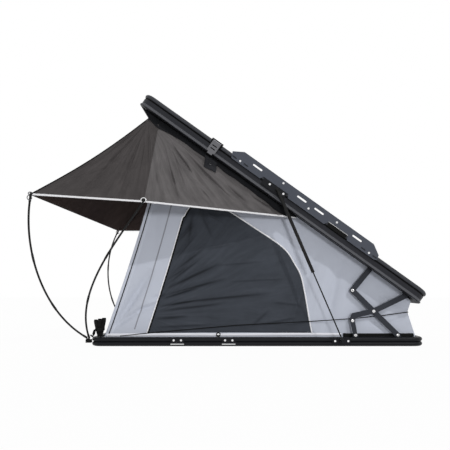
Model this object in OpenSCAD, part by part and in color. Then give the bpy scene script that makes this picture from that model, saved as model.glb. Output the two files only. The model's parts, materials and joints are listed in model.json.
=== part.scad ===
// Hard-shell wedge roof top tent, shown open. Sizes in mm.
// Origin: centre of the base underside. +X to the hinge end, -Y to the near side, +Z up.
// The lid is drawn closed on the base and set open by lid_place(); the hinge plates are drawn open.

/* [Base] */
// Length of the base tray
base_length = 2250; // [2000:10:2500]
// Width of the base tray
base_width = 1400; // [1250:10:1600]
// Height of the base rails
base_height = 60; // [54:1:76]
// Depth of a base rail from its outer face to its inner face
base_rail = 40; // [36:1:50]
// Outer radius of a base corner
base_corner_r = 80; // [78:1:110]
// Inner ledge that carries the floor
ledge = 36; // [30:1:36]
// Thickness of the floor panel
floor_t = 12; // [8:1:16]
// Thickness of the mattress at its edge
mattress_t = 46; // [36:1:50]
// Front side bracket's distance from the base's rear end
bracket_a = 1660; // [1500:1:1800]
// Rear side bracket's distance from the base's rear end
bracket_b = 1316; // [1150:1:1400]
// Length of a side bracket
bracket_l = 90; // [70:1:110]

/* [Mounting strips] */
// Hole spacing along the tent
hole_dx = 900; // [700:10:1200]
// Hole spacing across the tent
hole_dy = 800; // [600:10:900]
// Radius of a mounting hole
hole_r = 4.5; // [4:0.1:6]
// Width of a strip
strip_w = 40; // [30:1:60]

/* [Lid] */
// Height of the lid rails
lid_height = 86; // [80:1:100]
// Depth of a lid rail from its outer face to its inner face
lid_rail = 70; // [66:1:74]
// Lid overhang at each side
lid_over_side = 38; // [34:1:44]
// Lid overhang at the front
lid_over_front = 51; // [40:1:70]
// Lid overhang at the hinge end
lid_over_rear = 25; // [15:1:32]
// Opening angle
lid_angle = 35.5; // [30:0.5:38]
// Rise of the lid's rear lower edge when open
lid_rise = 219; // [200:1:240]
// Forward shift of the lid's rear lower edge when open
lid_shift = 52; // [40:1:60]
// Gap between closed lid and base rails
seat_gap = 2; // [1.5:0.1:4]
// Thickness of the lid panel
lid_panel_t = 25; // [16:1:26]

/* [Rack plate and latch] */
// Thickness of the rack plate
rack_t = 5; // [3:0.5:6]
// Height of the rack plate above the lid
rack_up = 52; // [30:1:70]
// Rear tip of the rack plate from the lid's rear end
rack_rear = 420; // [380:1:440]
// Rear end of the grip in the rack plate, from the lid's rear end
grip_u = 676; // [660:1:700]
// Length of the grip
grip_l = 148; // [100:1:160]
// Distance of the latch from the lid's rear end
latch_u = 1733; // [1680:1:1780]
// Width of the latch hasp
latch_w = 62; // [50:1:70]

/* [Scissor hinge] */
// Width of the hinge bars
bar_w = 36; // [30:1:38]
// Thickness of the hinge bars
bar_t = 5; // [4:0.5:5]
// Distance of the long arm's foot from the base's rear end
foot_a = 168.5; // [160:0.5:175]
// Distance of the lower link's foot from the base's rear end
foot_d = 459.5; // [450:0.5:465]
// Height of both feet
foot_z = 70; // [68:0.5:73]
// Long arm's upper pivot from the base's rear end
top_a = 477; // [470:0.5:484]
// Height of the long arm's upper pivot
top_a_z = 375; // [368:0.5:382]
// Share of the long arm below its cross pivot
cross_share = 0.536; // [0.52:0.002:0.55]
// Lower link's upper pivot from the base's rear end
top_d = 478.5; // [472:0.5:484]
// Height of the lower link's upper pivot
top_d_z = 169.5; // [164:0.5:174]
// Cross arm's lid pivot from the lid's rear end
lid_c = 164; // [158:0.5:170]
// Upper link's lid pivot from the lid's rear end
lid_b = 405; // [398:0.5:412]
// Radius of the pivot pins
pin_r = 6; // [5:0.5:7]
// Running clearance of the pivots, on the radius
pin_clear = 0.06; // [0.03:0.01:0.1]

/* [Gas struts] */
// Strut's lower pivot from the base's rear end
strut_foot = 560; // [540:1:580]
// Strut's upper pivot from the lid's rear end
strut_head = 1231; // [1220:1:1240]
// Length of the cylinder from the upper pivot
tube_len = 600; // [560:1:610]
// Outer radius of the cylinder
tube_r = 11; // [10:0.5:12]
// Radius of the rod
rod_r = 4.5; // [4:0.25:5]

/* [Tent and awning] */
// Thickness of the tent fabric
cloth_t = 2; // [1.5:0.1:3]
// Distance of the awning's front edge past the base
awning_reach = 259; // [200:1:320]
// Awning overhang at the front corners, past the base side
awning_side = 450; // [380:1:480]
// Height of the awning's lower edge
awning_z = 962; // [930:1:990]
// Awning overhang at the side ring, past the base side
ring_side = 283; // [250:1:310]
// Distance of the side ring behind the base's front end
ring_back = 400; // [370:1:430]
// Radius of the poles
pole_r = 5; // [4:0.5:6]

/* [Hidden] */
$fn = 48;
eps = 0.3;                                   // face clearance between separate bodies
seat_z = base_height + seat_gap;
lid_l = base_length + lid_over_front + lid_over_rear;
lid_w = base_width + 2 * lid_over_side;
lid_end = base_length / 2 + lid_over_rear;
hy = base_width / 2;
hx = base_length / 2;
bulge = base_height / 4;
floor_z = 10;
floor_top = floor_z + floor_t;
panel_n = 60;                                // underside of the lid panel above the lid's bottom
lid_corner_r = lid_rail + 20;
lid_in = lid_w / 2 - lid_rail;               // inner face of the lid side rails
lid_out = lid_w / 2;
lay = bar_t + 1;                             // pitch of the hinge layers
y_b = hy - 66;                               // layers of the upper link, long arm, cross arm, lower link
y_a = y_b + lay;
y_c = y_a + lay;
y_d = y_c + lay;
y_wall = hy - 81;                            // inner face of the side walls
sx = lid_end - lid_shift;
sz = seat_z + lid_rise;

// a point u behind the lid's rear end and n above the lid's bottom, with the lid open
function lid_pt(u, n) = [sx - u * cos(lid_angle) + n * sin(lid_angle),
                         sz + u * sin(lid_angle) + n * cos(lid_angle)];
function lid3(u, n, y) = [lid_pt(u, n)[0], y, lid_pt(u, n)[1]];
function mix(a, b, t) = a + (b - a) * t;

P5 = [hx - foot_a, foot_z];
P4 = [hx - foot_d, foot_z];
P1 = [hx - top_a, top_a_z];
P2 = mix(P5, P1, cross_share);
P3 = [hx - top_d, top_d_z];
n_b = 39.6;
n_c = 40.7;
P6 = lid_pt(lid_b, n_b);
P7 = lid_pt(lid_c, n_c);
C1 = P2 + [166, 80];                         // bends of the cross arm
C2 = mix(C1, P7, 0.34) + [44, -6];
S0 = [hx - strut_foot, 40];
S1 = lid_pt(strut_head, 60);
y_strut = lid_out + 22;

module lid_place() translate([sx, 0, sz]) rotate([0, lid_angle, 0])
    translate([-lid_end, 0, -seat_z]) children();
module far() mirror([0, 1, 0]) children();
module along_x(len) rotate([90, 0, 90]) linear_extrude(len, center = true) children();
module along_y(len) rotate([90, 0, 0]) linear_extrude(len, center = true) children();
// a near-side plate from the outline drawn in x and z, from y0 to y0 + t outwards
module plate(y0, t) translate([0, -y0, 0]) rotate([90, 0, 0]) linear_extrude(t) children();
module pin_y(p, y0, y1, r) translate([p[0], -y0, p[1]]) rotate([90, 0, 0]) cylinder(r = r, h = y1 - y0);
// a flat bar along a list of points, with round ends and joints
module bar(pts, w) {
    for (i = [0 : len(pts) - 2]) let (d = pts[i + 1] - pts[i])
        translate(pts[i]) rotate(atan2(d[1], d[0])) translate([0, -w / 2]) square([norm(d), w]);
    for (p = pts) translate(p) circle(d = w + 0.6);
}
module rounded(l, w, r) {
    square([l - 2 * r, w], center = true);
    square([l, w - 2 * r], center = true);
    for (x = [-1, 1], y = [-1, 1]) translate([x * (l / 2 - r), y * (w / 2 - r)]) circle(r);
}
// closed lid side: outline in distance from the rear end and height above the lid's bottom
module lid_plate(y0, t) plate(y0, t) translate([lid_end, seat_z]) mirror([1, 0]) children();

// a solid sheet from a grid of points, thickened by the vector d
module sheet(g, d) {
    m = len(g);
    n = len(g[0]);
    pts = concat([for (r = g) each r], [for (r = g) each [for (p = r) p + d]]);
    k = m * n;
    polyhedron(pts, concat(
        [for (i = [0 : m - 2], j = [0 : n - 2]) each
            [[i * n + j, i * n + j + 1, (i + 1) * n + j + 1],
             [i * n + j, (i + 1) * n + j + 1, (i + 1) * n + j]]],
        [for (i = [0 : m - 2], j = [0 : n - 2]) each
            [[k + i * n + j, k + (i + 1) * n + j + 1, k + i * n + j + 1],
             [k + i * n + j, k + (i + 1) * n + j, k + (i + 1) * n + j + 1]]],
        [for (i = [0 : m - 2]) each
            [[i * n, (i + 1) * n, k + (i + 1) * n], [i * n, k + (i + 1) * n, k + i * n],
             [i * n + n - 1, k + (i + 1) * n + n - 1, (i + 1) * n + n - 1],
             [i * n + n - 1, k + i * n + n - 1, k + (i + 1) * n + n - 1]]],
        [for (j = [0 : n - 2]) each
            [[j, k + j + 1, j + 1], [j, k + j, k + j + 1],
             [(m - 1) * n + j, (m - 1) * n + j + 1, k + (m - 1) * n + j + 1],
             [(m - 1) * n + j, k + (m - 1) * n + j + 1, k + (m - 1) * n + j]]]));
}
// a round rod along a list of points
module rod(path, r, sides = 10) {
    m = len(path);
    tan = [for (i = [0 : m - 1]) let (a = path[max(i - 1, 0)], b = path[min(i + 1, m - 1)])
        (b - a) / norm(b - a)];
    ref = [0, 1, 0.001];
    pts = [for (i = [0 : m - 1]) let (u = cross(tan[i], ref), e = u / norm(u), f = cross(tan[i], e))
        each [for (k = [0 : sides - 1]) let (w = k * 360 / sides) path[i] + r * (cos(w) * e + sin(w) * f)]];
    polyhedron(pts, concat([[for (k = [0 : sides - 1]) k]],
        [for (i = [0 : m - 2], k = [0 : sides - 1]) let (a = i * sides + k, b = i * sides + (k + 1) % sides)
            each [[a, a + sides, b], [b, a + sides, b + sides]]],
        [[for (k = [sides - 1 : -1 : 0]) (m - 1) * sides + k]]));
}
function bez(p, t) = pow(1 - t, 3) * p[0] + 3 * pow(1 - t, 2) * t * p[1]
    + 3 * (1 - t) * t * t * p[2] + pow(t, 3) * p[3];

/* base */
module base_profile(hollow = true) difference() {
    union() {
        square([base_rail - 12, base_height]);
        for (z = [bulge, 3 * bulge]) translate([base_rail - bulge, z]) circle(bulge);
        translate([-ledge, floor_z - 4]) square([ledge + 1, 4]);
    }
    if (hollow) translate([3, 3]) square([base_rail - 18, base_height - 6]);
}
module base_rail_far() color([0.06, 0.06, 0.065]) translate([0, hy - base_rail, 0])
    along_x(base_length - 2 * base_corner_r) base_profile();
module base_rail_near() far() base_rail_far();
module base_rail_rear() color([0.06, 0.06, 0.065]) translate([hx - base_rail, 0, 0])
    along_y(base_width - 2 * base_corner_r) base_profile();
module base_rail_front() mirror([1, 0, 0]) base_rail_rear();
module base_corners() color([0.05, 0.05, 0.05]) for (x = [0, 1], y = [0, 1])
    mirror([x, 0, 0]) mirror([0, y, 0]) translate([hx - base_corner_r, hy - base_corner_r, 0])
        rotate_extrude(angle = 90) translate([base_corner_r - base_rail, 0]) base_profile(false);
module floor_panel() color([0.5, 0.5, 0.52]) translate([0, 0, floor_z]) linear_extrude(floor_t)
    rounded(2 * (hx - base_rail - 28), 2 * (hy - base_rail - 28), 12);
module mount_strips() color([0.6, 0.6, 0.62]) for (y = [-1, 1])
  translate([0, y * hole_dy / 2, 0]) difference() {
    along_x(base_length - 350) {
        translate([-strip_w / 2, 0]) square([strip_w, 3]);
        for (k = [0, 1]) mirror([k, 0]) translate([strip_w / 2 - 3, 0]) {
            square([3, floor_z]);
            translate([0, floor_z - 3]) square([14, 3]);
        }
    }
    for (x = [-1, 1]) translate([x * hole_dx / 2, 0, -1]) cylinder(r = hole_r, h = 5);
}
// foam pad with drawn-in sides and a crowned top, built in rings of rounded rectangles
pad_l = hx - base_rail - 75;
pad_w = hy - 100;
pad_rings = [[14, 0], [3, 0.16], [0, 0.5], [4, 0.84], [16, 1], [70, 1.06], [220, 1.1]];
pad_k = 9;
function pad_ring(i, z) = [for (q = [0 : 3], s = [0 : pad_k - 1]) let (
    a = q * 90 + s * 90 / (pad_k - 1), r = 46,
    px = (q == 0 || q == 3 ? 1 : -1) * (pad_l - i - r), py = (q < 2 ? 1 : -1) * (pad_w - i - r))
    [px + r * cos(a), py + r * sin(a), floor_top + z * mattress_t]];
module mattress() color([0.2, 0.21, 0.23]) {
    n = 4 * pad_k;
    m = len(pad_rings);
    polyhedron([for (r = pad_rings) each pad_ring(r[0], r[1])], concat([[for (j = [0 : n - 1]) j]],
        [for (i = [0 : m - 2], j = [0 : n - 1]) let (a = i * n + j, b = i * n + (j + 1) % n)
            each [[a, a + n, b], [b, a + n, b + n]]],
        [[for (j = [n - 1 : -1 : 0]) (m - 1) * n + j]]));
}
module bracket_pos() for (b = [bracket_a, bracket_b]) translate([hx - b, 0, 0]) children();
module side_brackets() color([0.72, 0.73, 0.74]) for (s = [0, 1]) mirror([0, s, 0]) bracket_pos() {
    translate([-bracket_l / 2, -hy - 4, 14]) cube([bracket_l, 4, 38]);
    translate([-bracket_l / 2, -hy - 17, 14]) cube([bracket_l, 13.01, 4]);
}
module strut_feet() color([0.07, 0.07, 0.07]) for (s = [0, 1]) mirror([0, s, 0]) {
    plate(hy, 5) translate([S0[0] - 62, 16]) square([124, 38]);
    plate(hy + 5, y_strut - 12 - hy - 5) translate(S0) circle(14);
    pin_y(S0, y_strut - 12, y_strut + 12, pin_r);
    pin_y(S0, y_strut + 11, y_strut + 14, 11);
}
module hinge_feet() color([0.3, 0.3, 0.31]) for (s = [0, 1]) mirror([0, s, 0]) {
    plate(y_b, bar_t) {
        translate([P5[0] - 22, floor_z]) square([44, foot_z - floor_z]);
        translate(P5) circle(18);
    }
    pin_y(P5, y_b + bar_t - 0.5, y_a + bar_t, pin_r);
    plate(y_d + bar_t + 3.5, bar_t) difference() {
        union() {
            translate([P4[0] - 18, base_height]) square([36, foot_z - base_height]);
            translate(P4) circle(18);
        }
        translate([P4[0] - 30, base_height - 40]) square([60, 40]);
    }
    pin_y(P4, y_d + 0.3, y_d + bar_t + 4, pin_r);
}
module pole_sockets() color([0.08, 0.08, 0.08]) for (s = [0, 1]) mirror([0, s, 0]) {
    d = base_corner_r - 56;                  // the socket's inner edge from the centre of the corner's curve
    x = base_corner_r - sqrt(pow(base_corner_r, 2) - pow(d, 2)) - eps;
    translate([-hx - 33, -hy + 24, 22]) cube([33 + x, 32, 22]);
    translate(pole_foot() - [0, 0, 6]) cylinder(r = 13, h = 6.01);
}
module base_bolts() color([0.8, 0.8, 0.8]) for (s = [0, 1]) mirror([0, s, 0]) {
    bracket_pos() for (k = [-1, 1]) pin_y([k * (bracket_l / 2 - 20.5), 41], hy + 4, hy + 8.5, 7);
    for (x = [-44, 44]) pin_y([S0[0] + x, 36], hy + 5, hy + 9.5, 7);
    pin_y(P4, y_d + 2 * bar_t + 3.5, y_d + 2 * bar_t + 6, 9);
}
module stadium(r, h) {
    translate([-r, r]) square([2 * r, h - 2 * r]);
    for (z = [r, h - r]) translate([0, z]) circle(r);
}
// gathered webbing strap: three flat loops with a tie round them
module closing_strap() color([0.05, 0.05, 0.05]) translate([-hx + 54, -hy + 46, base_height]) {
    for (k = [0 : 2]) translate([-16 + 16 * k, 0, 0]) along_y(26) difference() {
        stadium(7, 100 + 10 * k);
        translate([0, 2.5]) stadium(4.5, 95 + 10 * k);
    }
    translate([0, 0, 62]) difference() {
        cube([56, 36, 12], center = true);
        cube([48, 28, 14], center = true);
    }
    for (x = [-9.5, 6.5]) translate([x, -13, 60]) cube([3, 26, 5]);
    for (x = [-24.5, 22.5]) translate([x, -13, 60]) cube([2.01, 26, 5]);
}

/* tent body */
w_fb = [-hx + 68, floor_top];
w_rb = [hx - 55, floor_top];
w_ft = lid_pt(lid_l - 202, panel_n - 0.1);
w_rt = lid_pt(lid_rail + 20, panel_n - 0.1);
w_rear = [w_rb, [hx - 51, 90], [hx - 70, 222], lid_pt(lid_rail + 9, -6), w_rt];
// share f from the front to the rear edge and h from the floor to the lid
function wall_pt(f, h) = mix(mix(w_fb, w_rb, f), mix(w_ft, w_rt, f), h);
window = [for (p = [[0.137, 0.055], [0.136, 0.631], [0.148, 0.692], [0.17, 0.74], [0.22, 0.762],
    [0.264, 0.757], [0.382, 0.727], [0.501, 0.689], [0.555, 0.619], [0.604, 0.482], [0.668, 0.1]])
    wall_pt(p[0], p[1])];
module wall_near() color([0.72, 0.73, 0.77]) plate(y_wall, cloth_t) difference() {
    polygon(concat([w_fb], w_rear, [w_ft]));
    polygon(window);
}
module wall_far() far() wall_near();
module window_near() color([0.2, 0.21, 0.23]) plate(y_wall + 0.5, cloth_t - 1) polygon(window);
module window_far() far() window_near();
module wall_front() color([0.72, 0.73, 0.77]) along_y(2 * y_wall)
    polygon([w_fb, w_fb + [cloth_t, 0], lid_pt(lid_l - 202 - cloth_t, panel_n - 0.1), w_ft]);
module wall_rear() color([0.72, 0.73, 0.77]) along_y(2 * y_wall)
    polygon(concat(w_rear, [lid_pt(lid_rail + 20 + cloth_t, panel_n - 0.1)],
        [for (i = [3 : -1 : 0]) w_rear[i] - [cloth_t, 0]]));
module shock_cord() color([0.06, 0.06, 0.06]) {
    r = 3;
    y = y_wall + cloth_t + r + 0.15;
    x = hx - 70 + r + 0.6;
    near = [for (p = [[0.05, 0.028], [0.172, 0.051], [0.42, 0.11], [0.657, 0.184], [0.787, 0.26],
        [0.892, 0.369]]) let (q = wall_pt(p[0], p[1])) [q[0], -y, q[1]]];
    bend = [[x - 14, -y, 220.6], [x - r - 0.6, -y, 221.6], [x - 1.1, -y + 1.1, 221.9],
        [x, -y + r + 0.6, 222], [x, -y / 2, 222]];
    half = concat(near, bend, [[x, 0, 222]]);
    rod(concat(half, [for (i = [len(half) - 2 : -1 : 0]) [half[i][0], -half[i][1], half[i][2]]]), r, 8);
}

/* lid, drawn closed */
module lid_profile(hollow = true) difference() {
    union() {
        square([lid_rail - 12, lid_height]);
        translate([lid_rail - 15, lid_height - 15.5]) circle(15);
        translate([lid_rail - 13, 13]) square([7, lid_height - 47]);
        translate([lid_rail - 8, 8.2]) circle(8);
        translate([-16, panel_n - 4]) square([17, 4]);
    }
    if (hollow) translate([2.5, 7]) square([lid_rail - 17, lid_height - 9.5]);
    translate([4, -1]) square([12, 5]);
}
cx = (lid_over_rear - lid_over_front) / 2;   // centre of the closed lid
module lid_rail_far() color([0.06, 0.06, 0.065]) lid_place() translate([cx, lid_in, seat_z])
    along_x(lid_l - 2 * lid_corner_r) lid_profile();
module lid_rail_near() far() lid_rail_far();
module lid_end_rail() translate([lid_l / 2 - lid_rail, 0, seat_z])
    along_y(lid_w - 2 * lid_corner_r) lid_profile();
module lid_rail_rear() color([0.06, 0.06, 0.065]) lid_place() translate([cx, 0, 0]) lid_end_rail();
module lid_rail_front() color([0.06, 0.06, 0.065]) lid_place() translate([cx, 0, 0])
    mirror([1, 0, 0]) lid_end_rail();
module lid_corners() color([0.05, 0.05, 0.05]) lid_place() translate([cx, 0, seat_z])
    for (x = [0, 1], y = [0, 1]) mirror([x, 0, 0]) mirror([0, y, 0])
        translate([lid_l / 2 - lid_corner_r, lid_w / 2 - lid_corner_r, 0])
            rotate_extrude(angle = 90) translate([lid_corner_r - lid_rail, 0]) lid_profile(false);
// grooves in the underside of the lid panel, where the cross arms swing
groove_u = [lid_c - 42, lid_b + 192];
groove_n = 20.3;
module lid_panel() color([0.55, 0.55, 0.57]) lid_place() translate([cx, 0, seat_z + panel_n]) difference() {
    linear_extrude(lid_panel_t) rounded(lid_l - 2 * lid_rail - 1, lid_w - 2 * lid_rail - 1, 19.5);
    for (s = [0, 1]) mirror([0, s, 0]) translate([lid_end - cx - groove_u[1], y_c - 2, -1])
        cube([groove_u[1] - groove_u[0], bar_t + 4, groove_n + 1]);
}
module lid_lining() color([0.35, 0.35, 0.37]) lid_place() translate([cx, 0, seat_z + panel_n - 6])
    linear_extrude(6) rounded(lid_l - 2 * lid_rail - 300, 2 * y_wall - 6, 20);
module lid_seal() color([0.04, 0.04, 0.04]) lid_place() translate([cx, 0, seat_z - seat_gap + eps])
    linear_extrude(seat_gap - eps + 4) difference() {
        rounded(lid_l - 2 * lid_rail + 32, lid_w - 2 * lid_rail + 32, 36);
        rounded(lid_l - 2 * lid_rail + 8, lid_w - 2 * lid_rail + 8, 24);
    }
rack_top = lid_height + rack_up;
rack_front = latch_u - latch_w / 2 - 84;      // front tip of the rack plate, clear of the latch
rack_ends = [rack_front - 79, rack_rear + 71];
rack_holes = [[rack_ends[0], 71], [strut_head - 243, 78], [grip_u + 105, 112], [strut_head - 11, 118],
    [rack_ends[1], 71]];
rack_slots = [rack_front - 198, strut_head - 171, grip_u + 244, rack_rear + 190];
module slot2(p, l, w) translate(p) { square([l - w, w], center = true);
    for (x = [-1, 1]) translate([x * (l - w) / 2, 0]) circle(d = w); }
module rack_plate() lid_plate(lid_out, rack_t) difference() {
    polygon([[rack_rear, 62], [rack_rear + 20, 54], [grip_u - 16, 54], [grip_u - 4, 86],
        [grip_u + grip_l + 2, 86], [grip_u + grip_l + 22, 54], [strut_head - 91, 54], [strut_head - 79, 78],
        [strut_head + 121, 78], [strut_head + 135, 54], [rack_front - 18, 54], [rack_front, 96],
        [rack_front - 69, rack_top], [rack_rear + 78, rack_top], [rack_rear + 8, 96]]);
    for (p = rack_holes) translate(p) circle(4.4);
    for (u = rack_ends, d = [-46, 46]) slot2([u + d, 71], 36, 9);
    for (u = rack_slots) slot2([u, 104], 74, 12);
}
module rack_plate_near() color([0.16, 0.16, 0.17]) lid_place() rack_plate();
module rack_plate_far() far() rack_plate_near();
module rack_grips() color([0.1, 0.1, 0.1]) for (s = [0, 1]) mirror([0, s, 0]) lid_place() {
    lid_plate(lid_out, 3) translate([grip_u, 56]) square([grip_l, 28]);
    lid_plate(lid_out + 3, 2.5) for (u = [5 : 16 : grip_l - 13]) translate([grip_u + u, 58]) square([8, 24]);
}
module strut_heads() color([0.07, 0.07, 0.07]) for (s = [0, 1]) mirror([0, s, 0]) lid_place() {
    lid_plate(lid_out, 5) translate([strut_head - 71, 30]) square([184, 46]);
    lid_plate(lid_out + 5, y_strut - 11.3 - lid_out - 5) translate([strut_head, 60]) circle(9);
}
module hinge_heads() color([0.3, 0.3, 0.31]) for (s = [0, 1]) mirror([0, s, 0]) lid_place() {
    lid_plate(y_b - lay, bar_t) {
        translate([lid_b - 22, n_b]) square([44, panel_n - n_b]);
        translate([lid_b, n_b]) circle(18);
    }
    lid_plate(y_b - 1.5, bar_t + 1.5) translate([lid_b, n_b]) circle(pin_r);
    lid_plate(lid_in - 8, 8) translate([lid_c - 24, 22]) square([48, panel_n - 4 - 22]);
    lid_plate(y_c + bar_t + 0.4, lid_in - 7 - y_c - bar_t) translate([lid_c, n_c]) circle(pin_r);
}
latch_pin = [lid_out + 9, lid_height - 4];
module latch_bodies() color([0.06, 0.06, 0.06]) for (s = [0, 1]) mirror([0, s, 0]) lid_place() {
    for (k = [-1, 1]) lid_plate(lid_out, 16)
        translate([latch_u + k * (latch_w / 2 + 6) - 5, lid_height - 13]) square([10, 19]);
    lid_plate(lid_out, 2) translate([latch_u - latch_w / 2 - 11, lid_height - 24])
        square([latch_w + 22, 34]);
    translate([lid_end - latch_u, -latch_pin[0], seat_z + latch_pin[1]]) rotate([0, 90, 0])
        cylinder(r = 3.5, h = latch_w + 4, center = true);
}
module hasp() lid_place() translate([lid_end - latch_u, -latch_pin[0], seat_z + latch_pin[1]]) difference() {
    union() {
        rotate([0, 90, 0]) cylinder(r = 6.5, h = latch_w, center = true);
        translate([-latch_w / 2, -6.5, -78]) cube([latch_w, 4, 78]);
        translate([-18, -6.5, -92]) cube([36, 4, 15]);
        translate([-18, -2.51, -92]) cube([36, 6, 4]);
    }
    rotate([0, 90, 0]) cylinder(r = 3.5 + pin_clear, h = latch_w + 2, center = true);
    for (z = [-30, -52]) translate([0, 0, z]) along_y(30) slot2([0, 0], 36, 7);
}
module latch_hasp_near() color([0.78, 0.79, 0.8]) hasp();
module latch_hasp_far() far() latch_hasp_near();
module lid_bolts() color([0.8, 0.8, 0.8]) for (s = [0, 1]) mirror([0, s, 0]) lid_place() {
    for (p = rack_holes) lid_plate(lid_out + rack_t, 4) translate(p) circle(7);
    for (d = [-51, 59]) lid_plate(lid_out + 5, 4) translate([strut_head + d, 60]) circle(7);
}

/* scissor hinge, drawn open */
module holed(p) difference() { children(); translate(p) circle(pin_r + pin_clear); }
module long_arm_near() color([0.3, 0.3, 0.31]) {
    plate(y_a, bar_t) holed(P5) bar([P5, P1], bar_w);
    pin_y(P2, y_a + bar_t - 0.5, y_c + bar_t + 0.5, pin_r);
    pin_y(P2, y_c + bar_t + 0.4, y_c + bar_t + 3.5, 10);
    pin_y(P1, y_a + bar_t - 0.5, y_a + bar_t + 3, 10);
}
module long_arm_far() far() long_arm_near();
module cross_arm_near() color([0.26, 0.26, 0.27]) plate(y_c, bar_t) holed(P2)
    bar([P3, P3 + [8, 34], P2, C1, C2, P7], bar_w);
module cross_arm_far() far() cross_arm_near();
module upper_link_near() color([0.3, 0.3, 0.31]) plate(y_b, bar_t) holed(P6) bar([P1, P6], bar_w);
module upper_link_far() far() upper_link_near();
module lower_link_near() color([0.24, 0.24, 0.25]) {
    plate(y_d, bar_t) holed(P4) bar([P4, P3], bar_w - 6);
    pin_y(P3, y_d + bar_t - 0.5, y_d + bar_t + 2.5, 9);
}
module lower_link_far() far() lower_link_near();

/* gas struts */
s_len = norm(S1 - S0);
s_ang = atan2(S1[1] - S0[1], S1[0] - S0[0]);
module strut_at() translate([S0[0], -y_strut, S0[1]]) rotate([0, 90 - s_ang, 0]) children();
module strut_rod_near() color([0.75, 0.76, 0.78]) strut_at() {
    difference() {
        union() {
            rotate([90, 0, 0]) cylinder(r = 11, h = 18, center = true);
            cylinder(r = 7, h = 26);
        }
        rotate([90, 0, 0]) cylinder(r = pin_r + pin_clear, h = 20, center = true);
    }
    translate([0, 0, 20]) cylinder(r = rod_r, h = s_len - tube_len + 40);
    translate([0, 0, s_len - tube_len + 52]) cylinder(r = tube_r - 2, h = 14);
}
module strut_rod_far() far() strut_rod_near();
module strut_tube_near() color([0.08, 0.08, 0.08]) strut_at() {
    translate([0, 0, s_len - tube_len]) difference() {
        cylinder(r = tube_r, h = tube_len - 20);
        translate([0, 0, -1]) cylinder(r = rod_r + 0.4, h = 22);
        translate([0, 0, 20]) cylinder(r = tube_r - 1.6, h = tube_len - 60);
    }
    translate([0, 0, s_len - 21]) cylinder(r = 7, h = 14);
    translate([0, 0, s_len]) rotate([90, 0, 0]) cylinder(r = 11, h = 18, center = true);
    translate([0, 9, s_len]) rotate([90, 0, 0]) translate([0, 0, 17.9]) cylinder(r = 7, h = 3);
}
module strut_tube_far() far() strut_tube_near();

/* awning: front panel, and on each side a gusset and a side panel that meet at the ring */
fly_t = 3;
fly_u0 = lid_l - lid_corner_r - 4;
fly_u1 = strut_head - 245;
fly_A = lid3(fly_u0, -3, -lid_in + 0.5);
fly_NL = [-hx - awning_reach, -hy - awning_side, awning_z];
fly_ring = [-hx + ring_back, -hy - ring_side, awning_z - 2];
fly_R = lid3(fly_u1, -18, -lid_in + 0.5);
function sag(a, b) = sin(180 * a) * sin(180 * b);
// ruled from the lid rail to the lower edge, with tension folds that run out from the front corner
module fly_side_near() color([0.4, 0.39, 0.39]) sheet([for (i = [0 : 14]) let (t = i / 14,
        a = lid3(mix(fly_u0, fly_u1, t), 24, -lid_in + 3), b = lid3(mix(fly_u0, fly_u1, t), -3, -lid_in + 3),
        e = mix(fly_ring, fly_R, t) + [0, fly_t, 0])
        concat([a], [for (j = [0 : 8]) let (v = j / 8)
            mix(b, e, v) + [0, sag(v, t) * (26 + 5 * sin(t * 1440)), -8 * sag(v, t)]])], [0, -fly_t, 0]);
module fly_side_far() far() fly_side_near();
module fly_gusset_near() color([0.27, 0.27, 0.27]) sheet([for (i = [0 : 10]) let (w = i / 10)
        [for (j = [0 : 9]) let (v = 0.02 + 0.98 * j / 9, e = mix(fly_NL, fly_ring, w) + [0, fly_t, 0])
            mix(fly_A + [0, fly_t - 0.5, 0], e, v)
                + [0, sag(v, w) * (30 + 6 * sin(w * 1080)), 12 * sag(v, w)]]],
    [0, -fly_t, 0]);
module fly_gusset_far() far() fly_gusset_near();
module fly_front() color([0.25, 0.24, 0.24]) sheet([for (i = [0 : 16]) let (w = i / 16, y = mix(-1, 1, w),
        a = lid3(lid_l - lid_rail - fly_t - 0.2, 20, y * (lid_in - 22)),
        b = lid3(lid_l - lid_rail - fly_t - 0.2, -4, y * (lid_in - 22)),
        e = [fly_NL[0] + 6 + 40 * sin(180 * w), y * (hy + awning_side - 16), awning_z])
        concat([a], [for (j = [0 : 8]) let (v = j / 8)
            mix(b, e, v) + [16 * sag(v, w), 0, -22 * sag(v, w)]])],
    fly_t * [-cos(lid_angle), 0, sin(lid_angle)]);
function pole_foot() = [-hx - 20, -hy + 40, 50];
module poles(s) color([0.04, 0.04, 0.04]) mirror([0, s, 0]) {
    p = pole_foot() + [-6, -4, 0.87 * pole_r + 0.15];
    q = pole_foot() + [6, 6, 0.57 * pole_r + 0.15];
    a = fly_NL + [0, -pole_r - 3, -6];
    b = fly_ring + [0, -pole_r - 3, -6];
    rod([for (i = [0 : 16]) bez([p, p + [-256, -169, 182], a + [-124, 168, -290], a], i / 16)], pole_r, 10);
    rod([for (i = [0 : 16]) bez([q, q + [-86, -174, 294], b + [-258, 108, -276], b], i / 16)], pole_r, 10);
}
module poles_near() poles(0);
module poles_far() poles(1);

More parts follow.
